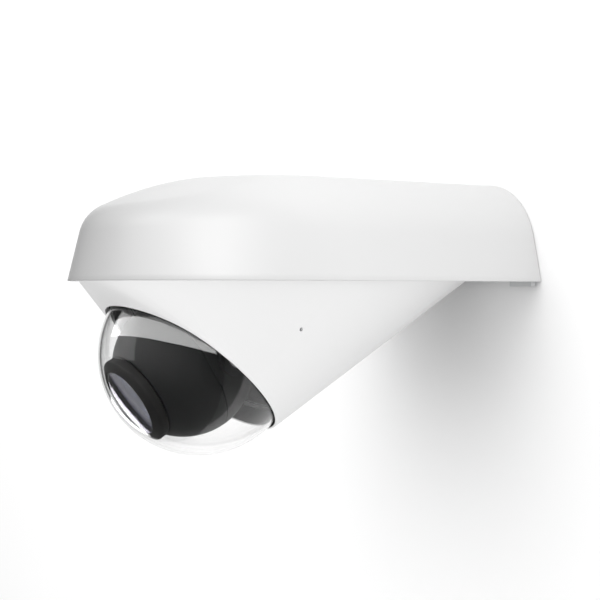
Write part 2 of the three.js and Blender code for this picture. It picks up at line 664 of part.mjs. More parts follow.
// One yoke arm: a round-ended plate beside the ball, standing on a foot on the pan ring.
function yokeArm(side) {
  const outline = new THREE.Shape();
  outline.moveTo(-ARM_HALF_WIDTH, PAN_RING_TOP + GAP);
  outline.lineTo(ARM_HALF_WIDTH, PAN_RING_TOP + GAP);
  outline.lineTo(ARM_HALF_WIDTH, 0);
  outline.absarc(0, 0, ARM_HALF_WIDTH, 0, Math.PI, false);
  const plate = sidePlate(outline, ARM_INNER, ARM_THICKNESS);
  const foot = block(
    ARM_OUTER - 1, ARM_OUTER + FOOT_REACH, -ARM_HALF_WIDTH, ARM_HALF_WIDTH,
    PAN_RING_TOP + GAP, PAN_RING_TOP + GAP + FOOT_THICKNESS,
  );
  const arm = cut(
    joined(solid(plate), foot),
    crossRod(PIN_RADIUS + SHAFT_CLEARANCE, ARM_INNER - 2, ARM_OUTER + 2),
    rod(M25.shank + SHAFT_CLEARANCE, PAN_RING_TOP - 2, PAN_RING_TOP + 8).translate(YOKE_SCREW_X, 0, 0),
  );
  return surface(side > 0 ? arm : arm.mirror([1, 0, 0]));
}

// A tilt pin along X: a head outside the arm and a shaft through the arm into the ball.
function tiltPin(side) {
  const head = ARM_OUTER + GAP;
  const profile = [
    [0, ARM_INNER - ARM_TO_BALL - 4.2], [PIN_RADIUS, ARM_INNER - ARM_TO_BALL - 4.2], [PIN_RADIUS, head],
    [PIN_HEAD_RADIUS, head], [PIN_HEAD_RADIUS, head + 0.8], [PIN_HEAD_RADIUS - 0.6, head + 1.3],
    [0, head + 1.3],
  ];
  return turned(profile, MEDIUM).rotateY(side * Math.PI / 2);
}

// ---------------------------------------------------------------- ball and lens unit

// A zone of the ball's wall between two planes square to the lens axis, flat at the arms.
function ballZone(from, to, steps = 5) {
  const radiusAt = (radius, z) => Math.sqrt(Math.max(radius ** 2 - (z - BALL_FORWARD) ** 2, 0));
  const heights = Array.from({ length: steps + 1 }, (_, i) => from + (to - from) * i / steps);
  const outer = heights.map((z) => [radiusAt(BALL_RADIUS, z), z]);
  const inner = heights.map((z) => [radiusAt(BALL_RADIUS - BALL_WALL, z), z]).reverse();
  const shell = solid(turned([...outer, ...inner]));
  return cut(
    shell,
    block(BALL_FLAT, BALL_FLAT + 20, -60, 60, -60, 60),
    block(-BALL_FLAT - 20, -BALL_FLAT, -60, 60, -60, 60),
    crossRod(PIN_RADIUS + SHAFT_CLEARANCE, -60, 60, 0, 0, MEDIUM),
  );
}

const ballShellRear = () => surface(ballZone(BALL_BACK, SEAM_FORWARD - GAP / 2));
const ballShellFront = () => surface(ballZone(SEAM_FORWARD + GAP / 2, BALL_FRONT));

function lensCarrier() {
  const away = CARRIER_AT + CARRIER_THICKNESS - BALL_FORWARD;
  const edge = Math.sqrt((BALL_RADIUS - BALL_WALL) ** 2 - away ** 2) - 0.4;
  return ring(BARREL_RADIUS + SHAFT_CLEARANCE, edge, CARRIER_AT, CARRIER_AT + CARRIER_THICKNESS);
}

function lensWindowRing() {
  const ledge = WINDOW_EDGE - 0.2;
  return turned([
    [GLASS_RADIUS, BALL_FRONT + GAP], [WINDOW_RADIUS - 0.8, BALL_FRONT + GAP],
    [WINDOW_RADIUS, BALL_FRONT + GAP + 0.8], [WINDOW_RADIUS, WINDOW_EDGE - 0.3],
    [WINDOW_RADIUS - 0.5, WINDOW_EDGE], [GLASS_RADIUS + 0.5, WINDOW_FRONT - 0.1],
    [GLASS_RADIUS, WINDOW_FRONT - 0.3], [GLASS_RADIUS, ledge], [GLASS_RADIUS - 1.8, ledge],
    [GLASS_RADIUS - 1.8, ledge - 1.2], [GLASS_RADIUS, ledge - 1.2],
  ]);
}

// A round lens element from two arcs: edge heights and crowns, positive crowns bulge forward.
function element(radius, { back, backCrown, front, frontCrown }, facets = MEDIUM, steps = 3) {
  const arc = (edge, crown) => Array.from({ length: steps + 1 }, (_, i) => {
    const r = radius * i / steps;
    return [r, edge + crown * (1 - (i / steps) ** 2)];
  });
  return turned([...arc(back, backCrown), ...arc(front, frontCrown).reverse()], facets);
}

function frontGlass() {
  const back = WINDOW_EDGE + 0.1;
  const front = back + GLASS_THICKNESS;
  const pane = { back, backCrown: GLASS_CROWN, front, frontCrown: GLASS_CROWN + 0.2 };
  return element(GLASS_RADIUS - 0.3, pane, FINE);
}

function lensBarrel() {
  const front = WINDOW_EDGE - 4;
  const bore = BARREL_RADIUS - BARREL_WALL;
  return turned([
    [bore, BARREL_BACK], [BARREL_RADIUS, BARREL_BACK], [BARREL_RADIUS, front - 1.8],
    [GLASS_RADIUS - 0.4, front - 1.8], [GLASS_RADIUS - 0.4, front], [bore, front],
  ], MEDIUM);
}

const ELEMENT_RADIUS = BARREL_RADIUS - BARREL_WALL - GAP;

const lensElementFront = () => element(ELEMENT_RADIUS, FRONT_ELEMENT);
const lensElementRear = () => element(ELEMENT_RADIUS, REAR_ELEMENT);
const irisDiaphragm = () => ring(IRIS.bore, ELEMENT_RADIUS, IRIS.at, IRIS.at + IRIS.thickness, MEDIUM);
const sensorHolder = () => ring(8.5, SENSOR_BOARD / 2, 1, BARREL_BACK - GAP, MEDIUM);
const sensorBoard = () => block(
  -SENSOR_BOARD / 2, SENSOR_BOARD / 2, -SENSOR_BOARD / 2, SENSOR_BOARD / 2, -0.9, 0.7,
);
const imageSensor = () => block(-5, 5, -4, 4, 1, 2.2);

// ---------------------------------------------------------------- boards

function mainBoard() {
  const board = solid(block(
    -BOARD_HALF_WIDTH, BOARD_HALF_WIDTH, -BOARD_DOWN, BOARD_UP, BOARD_BOTTOM, BOARD_TOP,
  ));
  const holes = STANDOFFS.map(([x, up]) => (
    rod(M25.shank + SHAFT_CLEARANCE, BOARD_BOTTOM - 2, BOARD_TOP + 2).translate(x, up, 0)
  ));
  return surface(cut(board, ...holes));
}

const standoff = (x, up) => ring(
  M25.shank + SHAFT_CLEARANCE, STANDOFF_RADIUS, STANDOFF_TOP - STANDOFF_LENGTH, STANDOFF_TOP, SMALL,
).translate(x, up, 0);

const PROCESSOR_TOP = BOARD_TOP + GAP + PROCESSOR.height;

const processor = () => block(
  -PROCESSOR.half, PROCESSOR.half, PROCESSOR.from, PROCESSOR.to, BOARD_TOP + GAP, PROCESSOR_TOP,
);
const heatSpreader = () => block(
  -PROCESSOR.half - SPREADER_MARGIN, PROCESSOR.half + SPREADER_MARGIN,
  PROCESSOR.from - SPREADER_MARGIN, PROCESSOR.to + SPREADER_MARGIN,
  PROCESSOR_TOP + GAP, SEAT_BOTTOM - GAP,
);

function networkJack() {
  const { x0, x1, y0, y1, height, wall } = JACK;
  const shell = solid(block(x0, x1, y0, y1, MOUNTED_TOP - height, MOUNTED_TOP));
  return surface(cut(shell, block(
    x0 + 5, x1 + 5, y0 + wall, y1 - wall, MOUNTED_TOP - height + 2.5, MOUNTED_TOP - 2.5,
  )));
}

const CARD_PLANE = MOUNTED_TOP - 1.3;
const CARD_SPAN = { x0: -37.5, x1: -37.5 + CARD.length, y: 14 };

function cardSlot() {
  const half = CARD.width / 2 + 1.6;
  const shell = solid(block(
    -34, -19.5, CARD_SPAN.y - half, CARD_SPAN.y + half, MOUNTED_TOP - 2.6, MOUNTED_TOP,
  ));
  const pocket = block(
    -40, CARD_SPAN.x1 + 0.6, CARD_SPAN.y - CARD.width / 2 - GAP, CARD_SPAN.y + CARD.width / 2 + GAP,
    CARD_PLANE - CARD.thickness / 2 - GAP, CARD_PLANE + CARD.thickness / 2 + GAP,
  );
  return surface(cut(shell, pocket));
}

const memoryCard = () => block(
  CARD_SPAN.x0, CARD_SPAN.x1, CARD_SPAN.y - CARD.width / 2, CARD_SPAN.y + CARD.width / 2,
  CARD_PLANE - CARD.thickness / 2, CARD_PLANE + CARD.thickness / 2,
);

const BUTTON = { x: -28, y: -9, radius: 1.7, body: 3.5, stroke: 0.6, proud: 1.7 };

function resetSwitch() {
  const body = solid(block(
    BUTTON.x - 3, BUTTON.x + 3, BUTTON.y - 3, BUTTON.y + 3, MOUNTED_TOP - BUTTON.body, MOUNTED_TOP,
  ));
  return surface(cut(body, rod(
    BUTTON.radius + SHAFT_CLEARANCE, MOUNTED_TOP - BUTTON.body - 2, MOUNTED_TOP - BUTTON.body + 1.8,
  ).translate(BUTTON.x, BUTTON.y, 0)));
}

const resetButton = () => rod(
  BUTTON.radius, MOUNTED_TOP - BUTTON.body - BUTTON.proud, MOUNTED_TOP - BUTTON.body + 0.7,
).translate(BUTTON.x, BUTTON.y, 0);

// ---------------------------------------------------------------- materials and assembly

const finish = (color, roughness, metalness = 0, extra = {}) => () => (
  new THREE.MeshStandardMaterial({ color, roughness, metalness, ...extra })
);
const whitePlastic = finish(0xe9ebec, 0.5);
const clearPlastic = finish(0xf4f8fa, 0.05, 0, { transparent: true, opacity: 0.3 });
const blackPlastic = finish(0x17181a, 0.35);
const rubber = finish(0x1b1b1c, 0.85);
const steel = finish(0xb9bcc0, 0.35, 1);
const castMetal = finish(0x9a9da1, 0.5, 0.9);
const glass = finish(0xc8d4e6, 0.03, 0, { transparent: true, opacity: 0.35 });
const circuitBoard = finish(0x1d5a34, 0.5);
const acetal = finish(0xd9d9d2, 0.4);
const chip = finish(0x202226, 0.4);

const group = new THREE.Group();
const camera = new THREE.Group();
camera.position.z = -ORIGIN_ABOVE_RIM;
group.add(camera);
const ballFrame = new THREE.Group();
ballFrame.rotation.x = -REST_TILT;
domeFrame.add(ballFrame);
camera.add(domeFrame);

function place(parent, name, geometry, material) {
  const mesh = new THREE.Mesh(closed(geometry), material());
  mesh.name = name;
  parent.add(mesh);
  return mesh;
}

place(camera, 'weather_hood', weatherHood(), whitePlastic);
place(camera, 'lower_housing', lowerHousing(), whitePlastic);
place(camera, 'wall_plate', wallPlate(), whitePlastic);
place(camera, 'wall_gasket', wallGasket(), rubber);
place(camera, 'cable_grommet', cableGrommet(), rubber);
place(camera, 'mounting_frame', mountingFrame(), steel);
place(domeFrame, 'dome_bubble', domeBubble(), clearPlastic);
place(domeFrame, 'dome_gasket', domeGasket(), rubber);
place(domeFrame, 'bubble_retainer', bubbleRetainer(), blackPlastic);
place(domeFrame, 'dome_base', domeBase(), castMetal);
place(domeFrame, 'bearing_ring', bearingRing(), acetal);
place(domeFrame, 'pan_ring', panRing(), blackPlastic);

for (const [side, label] of [[-1, 'left'], [1, 'right']]) {
  place(domeFrame, `yoke_${label}`, yokeArm(side), blackPlastic);
  place(domeFrame, `tilt_pin_${label}`, tiltPin(side), steel);
  place(domeFrame, `yoke_screw_${label}`, screw(M25, 4.2), steel)
    .position.set(side * YOKE_SCREW_X, 0, PAN_RING_TOP + 2 * GAP + FOOT_THICKNESS);
  const lock = place(domeFrame, `lock_screw_${label}`, lockScrew(), steel);
  lock.rotation.y = side * Math.PI / 2;
  lock.position.set(side * (LOCK_REACH - 1.6), -LOCK_SCREW_DOWN, -LOCK_SCREW_BACK);
  const hoodScrew = place(camera, `hood_screw_${label}`, screw(M3, HOOD_BOSS_TOP - 8), steel);
  hoodScrew.rotation.x = Math.PI;
  hoodScrew.position.set(side * HOOD_SCREW.x, HOOD_SCREW.y, DECK_BOTTOM + M3.height);
}

place(ballFrame, 'ball_shell_front', ballShellFront(), blackPlastic);
place(ballFrame, 'ball_shell_rear', ballShellRear(), blackPlastic);
place(ballFrame, 'lens_carrier', lensCarrier(), blackPlastic);
place(ballFrame, 'lens_window_ring', lensWindowRing(), blackPlastic);
place(ballFrame, 'front_glass', frontGlass(), glass);
place(ballFrame, 'lens_barrel', lensBarrel(), blackPlastic);
place(ballFrame, 'lens_element_front', lensElementFront(), glass);
place(ballFrame, 'lens_element_rear', lensElementRear(), glass);
place(ballFrame, 'iris_diaphragm', irisDiaphragm(), blackPlastic);
place(ballFrame, 'sensor_holder', sensorHolder(), blackPlastic);
place(ballFrame, 'sensor_board', sensorBoard(), circuitBoard);
place(ballFrame, 'image_sensor', imageSensor(), chip);

FRAME_SCREWS.forEach(([x, z], i) => {
  const mesh = place(camera, `frame_screw_${i + 1}`, screw(M4, 5), steel);
  mesh.rotation.x = Math.PI / 2;
  mesh.position.set(x, FRAME_BACK - CHEEK_THICKNESS - GAP, z);
});

BASE_SCREWS.forEach(([x, up], i) => {
  place(domeFrame, `base_screw_${i + 1}`, screw(M3, 5.2), steel).position.set(x, up, BASE_FLOOR_TOP + GAP);
});

place(domeFrame, 'main_board', mainBoard(), circuitBoard);
place(domeFrame, 'processor', processor(), chip);
place(domeFrame, 'heat_spreader', heatSpreader(), castMetal);
place(domeFrame, 'network_jack', networkJack(), steel);
place(domeFrame, 'card_slot', cardSlot(), steel);
place(domeFrame, 'memory_card', memoryCard(), chip);
place(domeFrame, 'reset_switch', resetSwitch(), chip);
place(domeFrame, 'reset_button', resetButton(), acetal);

STANDOFFS.forEach(([x, up], i) => {
  place(domeFrame, `standoff_${i + 1}`, standoff(x, up), steel);
  const mesh = place(domeFrame, `board_screw_${i + 1}`, screw(M25, 5), steel);
  mesh.rotation.x = Math.PI;
  mesh.position.set(x, up, MOUNTED_TOP);
});

export default group;
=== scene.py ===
"""Studio picture of a wall-mounted dome camera under a long weather hood.

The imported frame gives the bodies, the joints and every node's place. The classes below build
the pieces that show as fine surfaces, dress the ones that stay, and light the wall. Metres.
"""

import json
import logging
import math
from dataclasses import dataclass, field
from enum import Enum

import bmesh
import bpy
import numpy as np
from mathutils import Matrix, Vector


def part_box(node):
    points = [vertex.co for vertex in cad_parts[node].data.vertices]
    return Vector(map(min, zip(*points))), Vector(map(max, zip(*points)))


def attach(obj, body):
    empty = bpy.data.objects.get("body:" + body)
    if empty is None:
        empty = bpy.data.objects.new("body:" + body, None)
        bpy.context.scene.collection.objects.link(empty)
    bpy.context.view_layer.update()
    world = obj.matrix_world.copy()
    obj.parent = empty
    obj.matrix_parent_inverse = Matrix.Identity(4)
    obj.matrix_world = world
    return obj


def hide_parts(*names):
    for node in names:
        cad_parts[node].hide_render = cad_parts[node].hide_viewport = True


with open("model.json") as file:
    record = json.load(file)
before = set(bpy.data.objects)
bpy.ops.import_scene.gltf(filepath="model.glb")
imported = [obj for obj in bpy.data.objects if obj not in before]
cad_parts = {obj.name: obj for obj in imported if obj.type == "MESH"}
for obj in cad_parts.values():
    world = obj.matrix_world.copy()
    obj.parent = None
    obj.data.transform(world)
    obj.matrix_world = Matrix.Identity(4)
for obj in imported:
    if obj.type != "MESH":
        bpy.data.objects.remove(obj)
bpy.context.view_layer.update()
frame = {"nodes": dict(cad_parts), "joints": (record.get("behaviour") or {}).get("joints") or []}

LOG = logging.getLogger("dome_camera")
MM = 0.001
HAIR = 0.02 * MM
FAR = 50 * MM
SIDES = ((-1, "left"), (1, "right"))


# ------------------------------------------------------------------ places and shapes


@dataclass(frozen=True)
class Axes:
    """A place and three directions that a piece is built in.

    Attributes:
        origin: the place, in the frame.
        basis: one row per direction: across, up and forward.
    """

    origin: np.ndarray
    basis: np.ndarray

    def place(self, points: np.ndarray) -> np.ndarray:
        """Carries points in these axes into the frame: origin plus each share of each direction."""
        return points @ self.basis + self.origin

    def moved(self, across: float, up: float, forward: float) -> "Axes":
        """The same directions from a place further along."""
        return Axes(self.place(np.array([across, up, forward])), self.basis)

    def facing(self, direction: np.ndarray) -> "Axes":
        """The same place with its forward direction turned to a direction of these axes.

        Args:
            direction: shares of across, up and forward, of any length.

        Returns:
            The turned axes.
        """
        forward = unit(np.asarray(direction, float) @ self.basis)
        helper = self.basis[1] if abs(forward @ self.basis[1]) < 0.9 else self.basis[2]
        across = unit(np.cross(helper, forward))
        return Axes(self.origin, np.array([across, np.cross(forward, across), forward]))


def unit(vector: np.ndarray) -> np.ndarray:
    """A vector of the same direction and length one."""
    return vector / np.linalg.norm(vector, axis=-1, keepdims=True)


def joint_of(name: str) -> dict:
    """The frame's joint of that name."""
    return next(j for j in frame["joints"] if j["name"] == name)


def axes_along(joint: str) -> Axes:
    """Axes at a joint's place, forward along its axis and across along the frame's X.

    Args:
        joint: the joint's name.

    Returns:
        The axes.
    """
    found = joint_of(joint)
    across = np.array([1.0, 0.0, 0.0])
    forward = unit(np.array(found["axis"], float))
    origin = np.array(found["pos_m"], float)
    return Axes(origin, np.array([across, np.cross(forward, across), forward]))


def corners_of(node: str) -> tuple[np.ndarray, np.ndarray]:
    """The low and high corners of a node's box."""
    low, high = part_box(node)
    return np.array(low), np.array(high)


def vertices_of(node: str) -> np.ndarray:
    """A node's points in the frame.

    Args:
        node: the node's name.

    Returns:
        Points, shape (n, 3).
    """
    mesh = frame["nodes"][node].data
    flat = np.zeros(len(mesh.vertices) * 3, np.float32)
    mesh.vertices.foreach_get("co", flat)
    return flat.reshape(-1, 3).astype(float)


def linked(name: str, data: bpy.types.ID) -> bpy.types.Object:
    """A new object of a mesh, a lamp or a camera, in the scene."""
    thing = bpy.data.objects.new(name, data)
    bpy.context.scene.collection.objects.link(thing)
    return thing


WORLD = Axes(np.zeros(3), np.eye(3))
DOME = axes_along("pan")
LENS = axes_along("lens_roll")


class Skin:
    """A mesh under construction from grids of points."""

    def __init__(self) -> None:
        """Starts with nothing."""
        self.points: list[np.ndarray] = []
        self.faces: list[np.ndarray] = []
        self.lids: list[list[int]] = []
        self.count = 0

    def grid(self, points: np.ndarray, round_u: bool = False, round_v: bool = False) -> "Skin":
        """Adds a surface from a grid of points: each face joins a point to the next in u and v.

        Args:
            points: array of shape (nu, nv, 3).
            round_u: joins the last row to the first.
            round_v: joins the last column to the first.

        Returns:
            The skin itself.
        """
        nu, nv = points.shape[:2]
        index = np.arange(nu * nv).reshape(nu, nv) + self.count
        if round_u:
            index = np.vstack([index, index[:1]])
        if round_v:
            index = np.hstack([index, index[:, :1]])
        quads = np.stack([index[:-1, :-1], index[1:, :-1], index[1:, 1:], index[:-1, 1:]], -1)
        self.points.append(points.reshape(-1, 3))
        self.faces.append(quads.reshape(-1, 4))
        self.count += nu * nv
        return self

    def lid(self, points: np.ndarray) -> "Skin":
        """Adds one flat face.

        Args:
            points: its outline, shape (n, 3).

        Returns:
            The skin itself.
        """
        self.points.append(points)
        self.lids.append(list(range(self.count, self.count + len(points))))
        self.count += len(points)
        return self

    def make(self, name: str) -> bpy.types.Object:
        """Welds the seams and turns the faces outwards.

        Args:
            name: the object's name.

        Returns:
            The finished object.
        """
        mesh = bpy.data.meshes.new(name)
        faces = [tuple(f) for f in np.concatenate(self.faces).tolist()] if self.faces else []
        mesh.from_pydata(np.concatenate(self.points).tolist(), [], faces + self.lids)
        work = bmesh.new()
        work.from_mesh(mesh)
        bmesh.ops.remove_doubles(work, verts=work.verts, dist=0.2 * HAIR)
        bmesh.ops.dissolve_degenerate(work, edges=work.edges, dist=0.1 * HAIR)
        bmesh.ops.recalc_face_normals(work, faces=work.faces)
        work.to_mesh(mesh)
        work.free()
        return linked(name, mesh)


def rounded(points: np.ndarray, radius: float | np.ndarray, steps: int = 3) -> np.ndarray:
    """A closed outline with each corner rounded.

    Each corner becomes a quadratic curve that leaves its edges a set length from it. That
    length is the radius, or less than half of the shorter edge.

    Args:
        points: corners, shape (n, 2).
        radius: one length, or one per corner, where 0 keeps it sharp.
        steps: pieces in each corner.

    Returns:
        The rounded outline, shape (n (steps + 1), 2).
    """
    longest = 0.48
    to_last, to_next = np.roll(points, 1, 0) - points, np.roll(points, -1, 0) - points
    reach = np.minimum(np.linalg.norm(to_last, axis=1), np.linalg.norm(to_next, axis=1))
    cut = np.minimum(radius, longest * reach)[:, None]
    start, end = points + unit(to_last) * cut, points + unit(to_next) * cut
    t = np.linspace(0, 1, steps + 1)[None, :, None]
    curve = start[:, None] * (1 - t) ** 2 + points[:, None] * 2 * t * (1 - t) + end[:, None] * t**2
    return curve.reshape(-1, 2)


def turned(profile: np.ndarray, axes: Axes, facets: int = 128) -> np.ndarray:
    """Points of a profile carried round the forward axis: (r cos a, r sin a, z) at each angle a.

    Args:
        profile: (radius, height) points, shape (n, 2).
        axes: the axes that it turns in.
        facets: angles round the axis.

    Returns:
        Points, shape (facets, n, 3).
    """
    angle = np.linspace(0, 2 * math.pi, facets, endpoint=False)[:, None]
    r, z = profile[None, :, 0], profile[None, :, 1]
    spun = np.stack([r * np.cos(angle), r * np.sin(angle), z + 0 * angle], -1)
    return axes.place(spun)


def turning(name: str, profile: np.ndarray, axes: Axes, facets: int = 128) -> bpy.types.Object:
    """A solid of revolution from a closed profile of (radius, height) points."""
    return Skin().grid(turned(profile, axes, facets), True, True).make(name)


def rod(radius: float, low: float, high: float) -> np.ndarray:
    """The profile of a plain cylinder, as turning takes it."""
    return np.array([[0, low], [radius, low], [radius, high], [0, high]])


def arc(radius: float, start: float, end: float, steps: int) -> np.ndarray:
    """Profile points on a circle about the origin, (r cos a, r sin a) from angle to angle."""
    angle = np.linspace(start, end, steps)
    return np.stack([radius * np.cos(angle), radius * np.sin(angle)], -1)


def prism(
    name: str, outline: np.ndarray, low: float, high: float, axes: Axes, edge: float = 0.0
) -> bpy.types.Object:
    """A plate of a closed outline, from low to high along forward, with chamfered edges.

    The wall's rings are the outline, or the outline drawn in by the edge at both ends, where
    drawing in moves a point along the inward normal of its two edges.

    Args:
        name: the object's name.
        outline: (across, up) corners, shape (n, 2).
        low: where it starts along forward.
        high: where it ends.
        axes: the axes that it is drawn in.
        edge: the chamfer's width.

    Returns:
        The plate.
    """
    along = unit(np.roll(outline, -1, 0) - np.roll(outline, 1, 0))
    normal = np.stack([along[:, 1], -along[:, 0]], -1)
    x, y = outline.T
    area = np.sum(x * np.roll(y, -1) - np.roll(x, -1) * y)
    inner = outline - normal * edge * np.sign(area)
    rings = [(inner, low), (outline, low + edge), (outline, high - edge), (inner, high)]
    walls = np.stack([np.column_stack([o, np.full(len(o), z)]) for o, z in rings], 1)
    placed = axes.place(walls)
    return Skin().grid(placed, True).lid(placed[:, 0]).lid(placed[:, -1]).make(name)


class Cut(Enum):
    """How one solid changes another."""

    AWAY = "DIFFERENCE"
    SHARED = "INTERSECT"
    JOINED = "UNION"


def combined(thing: bpy.types.Object, tool: bpy.types.Object, way: Cut) -> bpy.types.Object:
    """Applies a tool solid to a solid and removes the tool.

    Args:
        thing: the solid that stays.
        tool: the solid that changes it.
        way: how it does.

    Returns:
        The changed solid.
    """
    change = thing.modifiers.new("cut", "BOOLEAN")
    change.operation, change.object, change.solver = way.value, tool, "EXACT"
    settle(thing)
    bpy.data.objects.remove(tool)
    return thing


def settle(thing: bpy.types.Object) -> None:
    """Replaces a piece's mesh by the one its modifiers make.

    Args:
        thing: the piece.
    """
    graph = bpy.context.evaluated_depsgraph_get()
    made = bpy.data.meshes.new_from_object(thing.evaluated_get(graph))
    old = thing.data
    thing.modifiers.clear()
    thing.data = made
    made.name = thing.name
    bpy.data.meshes.remove(old)


# ------------------------------------------------------------------ shader tools


class Wire:
    """A value in a material, with arithmetic that adds Math nodes."""

    def __init__(self, tree: bpy.types.NodeTree, socket: bpy.types.NodeSocket) -> None:
        """Wraps an output socket of a tree."""
        self.tree, self.socket = tree, socket

    def _math(self, operation: str, left: object, right: object) -> "Wire":
        """Adds one Math node.

        Args:
            operation: what it works out.
            left: a wire or a number.
            right: a wire or a number.

        Returns:
            Its result.
        """
        node = self.tree.nodes.new("ShaderNodeMath")
        node.operation = operation
        for socket, value in zip(node.inputs, (left, right)):
            join(self.tree, socket, value)
        return Wire(self.tree, node.outputs[0])

    def __add__(self, other: object) -> "Wire":
        """Sum."""
        return self._math("ADD", self, other)

    __radd__ = __add__

    def __mul__(self, other: object) -> "Wire":
        """Product."""
        return self._math("MULTIPLY", self, other)

    __rmul__ = __mul__

    def __sub__(self, other: object) -> "Wire":
        """Difference."""
        return self._math("SUBTRACT", self, other)

    def __rsub__(self, other: object) -> "Wire":
        """Difference from a number."""
        return self._math("SUBTRACT", other, self)

    def __gt__(self, other: object) -> "Wire":
        """One where this is the larger, else zero."""
        return self._math("GREATER_THAN", self, other)


def join(tree: bpy.types.NodeTree, socket: bpy.types.NodeSocket, value: object) -> None:
    """Links a wire to a socket, or sets a value on it.

    Args:
        tree: the node tree.
        socket: the input.
        value: a wire, a number or a colour.
    """
    if isinstance(value, Wire):
        tree.links.new(value.socket, socket)
    elif isinstance(value, (tuple, list)) and socket.type == "RGBA" and len(value) == 3:
        socket.default_value = (*value, 1.0)
    else:
        socket.default_value = value


class Recipe:
    """One material's node tree, with its output and its coordinates."""

    def __init__(self, name: str) -> None:
        """Makes an empty node material.

        Args:
            name: the material's name.
        """
        self.material = bpy.data.materials.new(name)
        self.material.use_nodes = True
        self.tree = self.material.node_tree
        self.tree.nodes.clear()
        self.output = self.tree.nodes.new("ShaderNodeOutputMaterial")

    def node(
        self, kind: str, outlet: str | int = 0, settings: dict | None = None, **inputs: object
    ) -> Wire:
        """Adds a node.

        Args:
            kind: the node's type after ShaderNode.
            outlet: the output wanted.
            settings: attributes of the node, set first.
            **inputs: socket names, with _ for a space, and a wire or value for each.

        Returns:
            The wanted output.
        """
        made = self.tree.nodes.new("ShaderNode" + kind)
        for key, value in (settings or {}).items():
            setattr(made, key, value)
        for key, value in inputs.items():
            join(self.tree, made.inputs[key.replace("_", " ")], value)
        return Wire(self.tree, made.outputs[outlet])

    def place(self, scale: tuple = (1.0, 1.0, 1.0)) -> Wire:
        """Object coordinates, stretched."""
        return self.node("Mapping", Vector=self.node("TexCoord", "Object"), Scale=scale)

    def noise(
        self, scale: float, detail: float = 2.0, rough: float = 0.5, at: Wire | None = None
    ) -> Wire:
        """Smooth noise from 0 to 1 with features one over scale metres wide."""
        where = at or self.place()
        return self.node("TexNoise", Vector=where, Scale=scale, Detail=detail, Roughness=rough)

    def blend(self, factor: object, first: object, second: object) -> Wire:
        """A colour between two colours.

        Args:
            factor: 0 for the first, 1 for the second.
            first: a colour or a wire.
            second: a colour or a wire.

        Returns:
            The mixed colour.
        """
        mixed = self.tree.nodes.new("ShaderNodeMix")
        mixed.data_type = "RGBA"
        sockets = {s.identifier: s for s in mixed.inputs}
        join(self.tree, sockets["Factor_Float"], factor)
        join(self.tree, sockets["A_Color"], first)
        join(self.tree, sockets["B_Color"], second)
        return Wire(self.tree, {s.identifier: s for s in mixed.outputs}["Result_Color"])

    def either(self, factor: Wire, first: Wire, second: Wire) -> Wire:
        """One shader or another.

        Args:
            factor: 0 for the first, 1 for the second.
            first: a shader.
            second: a shader.

        Returns:
            The mixed shader.
        """
        mixed = self.tree.nodes.new("ShaderNodeMixShader")
        for socket, value in zip(mixed.inputs, (factor, first, second)):
            join(self.tree, socket, value)
        return Wire(self.tree, mixed.outputs[0])

    def bump(self, height: Wire, depth: float) -> Wire:
        """A normal from a height of 0 to 1, at a depth in metres."""
        return self.node("Bump", Height=height, Distance=depth, Strength=1.0)

    def surface(self, shader: Wire) -> bpy.types.Material:
        """Ends the recipe with its shader."""
        self.tree.links.new(shader.socket, self.output.inputs["Surface"])
        return self.material


Colour = tuple[float, float, float]


class Finish:
    """A material of the camera. Each kind below gives its recipe."""

    name: str

    def recipe(self) -> bpy.types.Material:
        """Makes the material."""
        raise NotImplementedError

    def material(self) -> bpy.types.Material:
        """The material, made once."""
        return bpy.data.materials.get(self.name) or self.recipe()


@dataclass(frozen=True)
class MouldedPlastic(Finish):
    """Injection-moulded plastic: a faint cloud in its colour and a fine spark-eroded grain.

    Attributes:
        name: the material's name.
        colour: its colour.
        cloud: how far the colour drifts, as a share.
        roughness: its mean roughness.
        grain: grain per metre.
        depth: grain depth in metres.
    """

    name: str
    colour: Colour
    cloud: float = 0.02
    roughness: float = 0.42
    grain: float = 2600.0
    depth: float = 0.012 * MM

    def recipe(self) -> bpy.types.Material:
        """Base colour from broad noise, roughness from mid noise and bump from the grain.

        Returns:
            The material.
        """
        r = Recipe(self.name)
        darker = tuple(c * (1 - self.cloud) for c in self.colour)
        tone = r.blend(r.noise(14.0, 3.0), darker, self.colour)
        gloss = self.roughness - 0.05 + 0.1 * r.noise(60.0, 4.0, 0.6)
        grain = r.noise(self.grain, 3.0, 0.6)
        shader = r.node(
            "BsdfPrincipled", Base_Color=tone, Roughness=gloss, IOR=1.46,
            Normal=r.bump(grain, self.depth),
        )
        return r.surface(shader)


@dataclass(frozen=True)
class ClearPlastic(Finish):
    """Clear polycarbonate or glass that lets the lamps through.

    Attributes:
        name: the material's name.
        tint: what it passes.
        ior: its index.
        roughness: its roughness.
        film: thickness of its coating in nanometres, or 0.
        gleam: the colour of its reflections.
    """

    name: str
    tint: Colour = (1.0, 1.0, 1.0)
    ior: float = 1.5
    roughness: float = 0.0
    film: float = 0.0
    gleam: Colour = (1.0, 1.0, 1.0)

    def recipe(self) -> bpy.types.Material:
        """A fully transmitting shader, and plain transparency for the lamps' rays.

        Returns:
            The material.
        """
        r = Recipe(self.name)
        clear = r.node(
            "BsdfPrincipled", Base_Color=self.tint, Roughness=self.roughness, IOR=self.ior,
            Transmission_Weight=1.0, Thin_Film_Thickness=self.film, Thin_Film_IOR=1.38,
            Specular_Tint=self.gleam,
        )
        lamp = r.node("LightPath", "Is Shadow Ray")
        passed = tuple(0.96 * c for c in self.tint)
        return r.surface(r.either(lamp, clear, r.node("BsdfTransparent", Color=passed)))


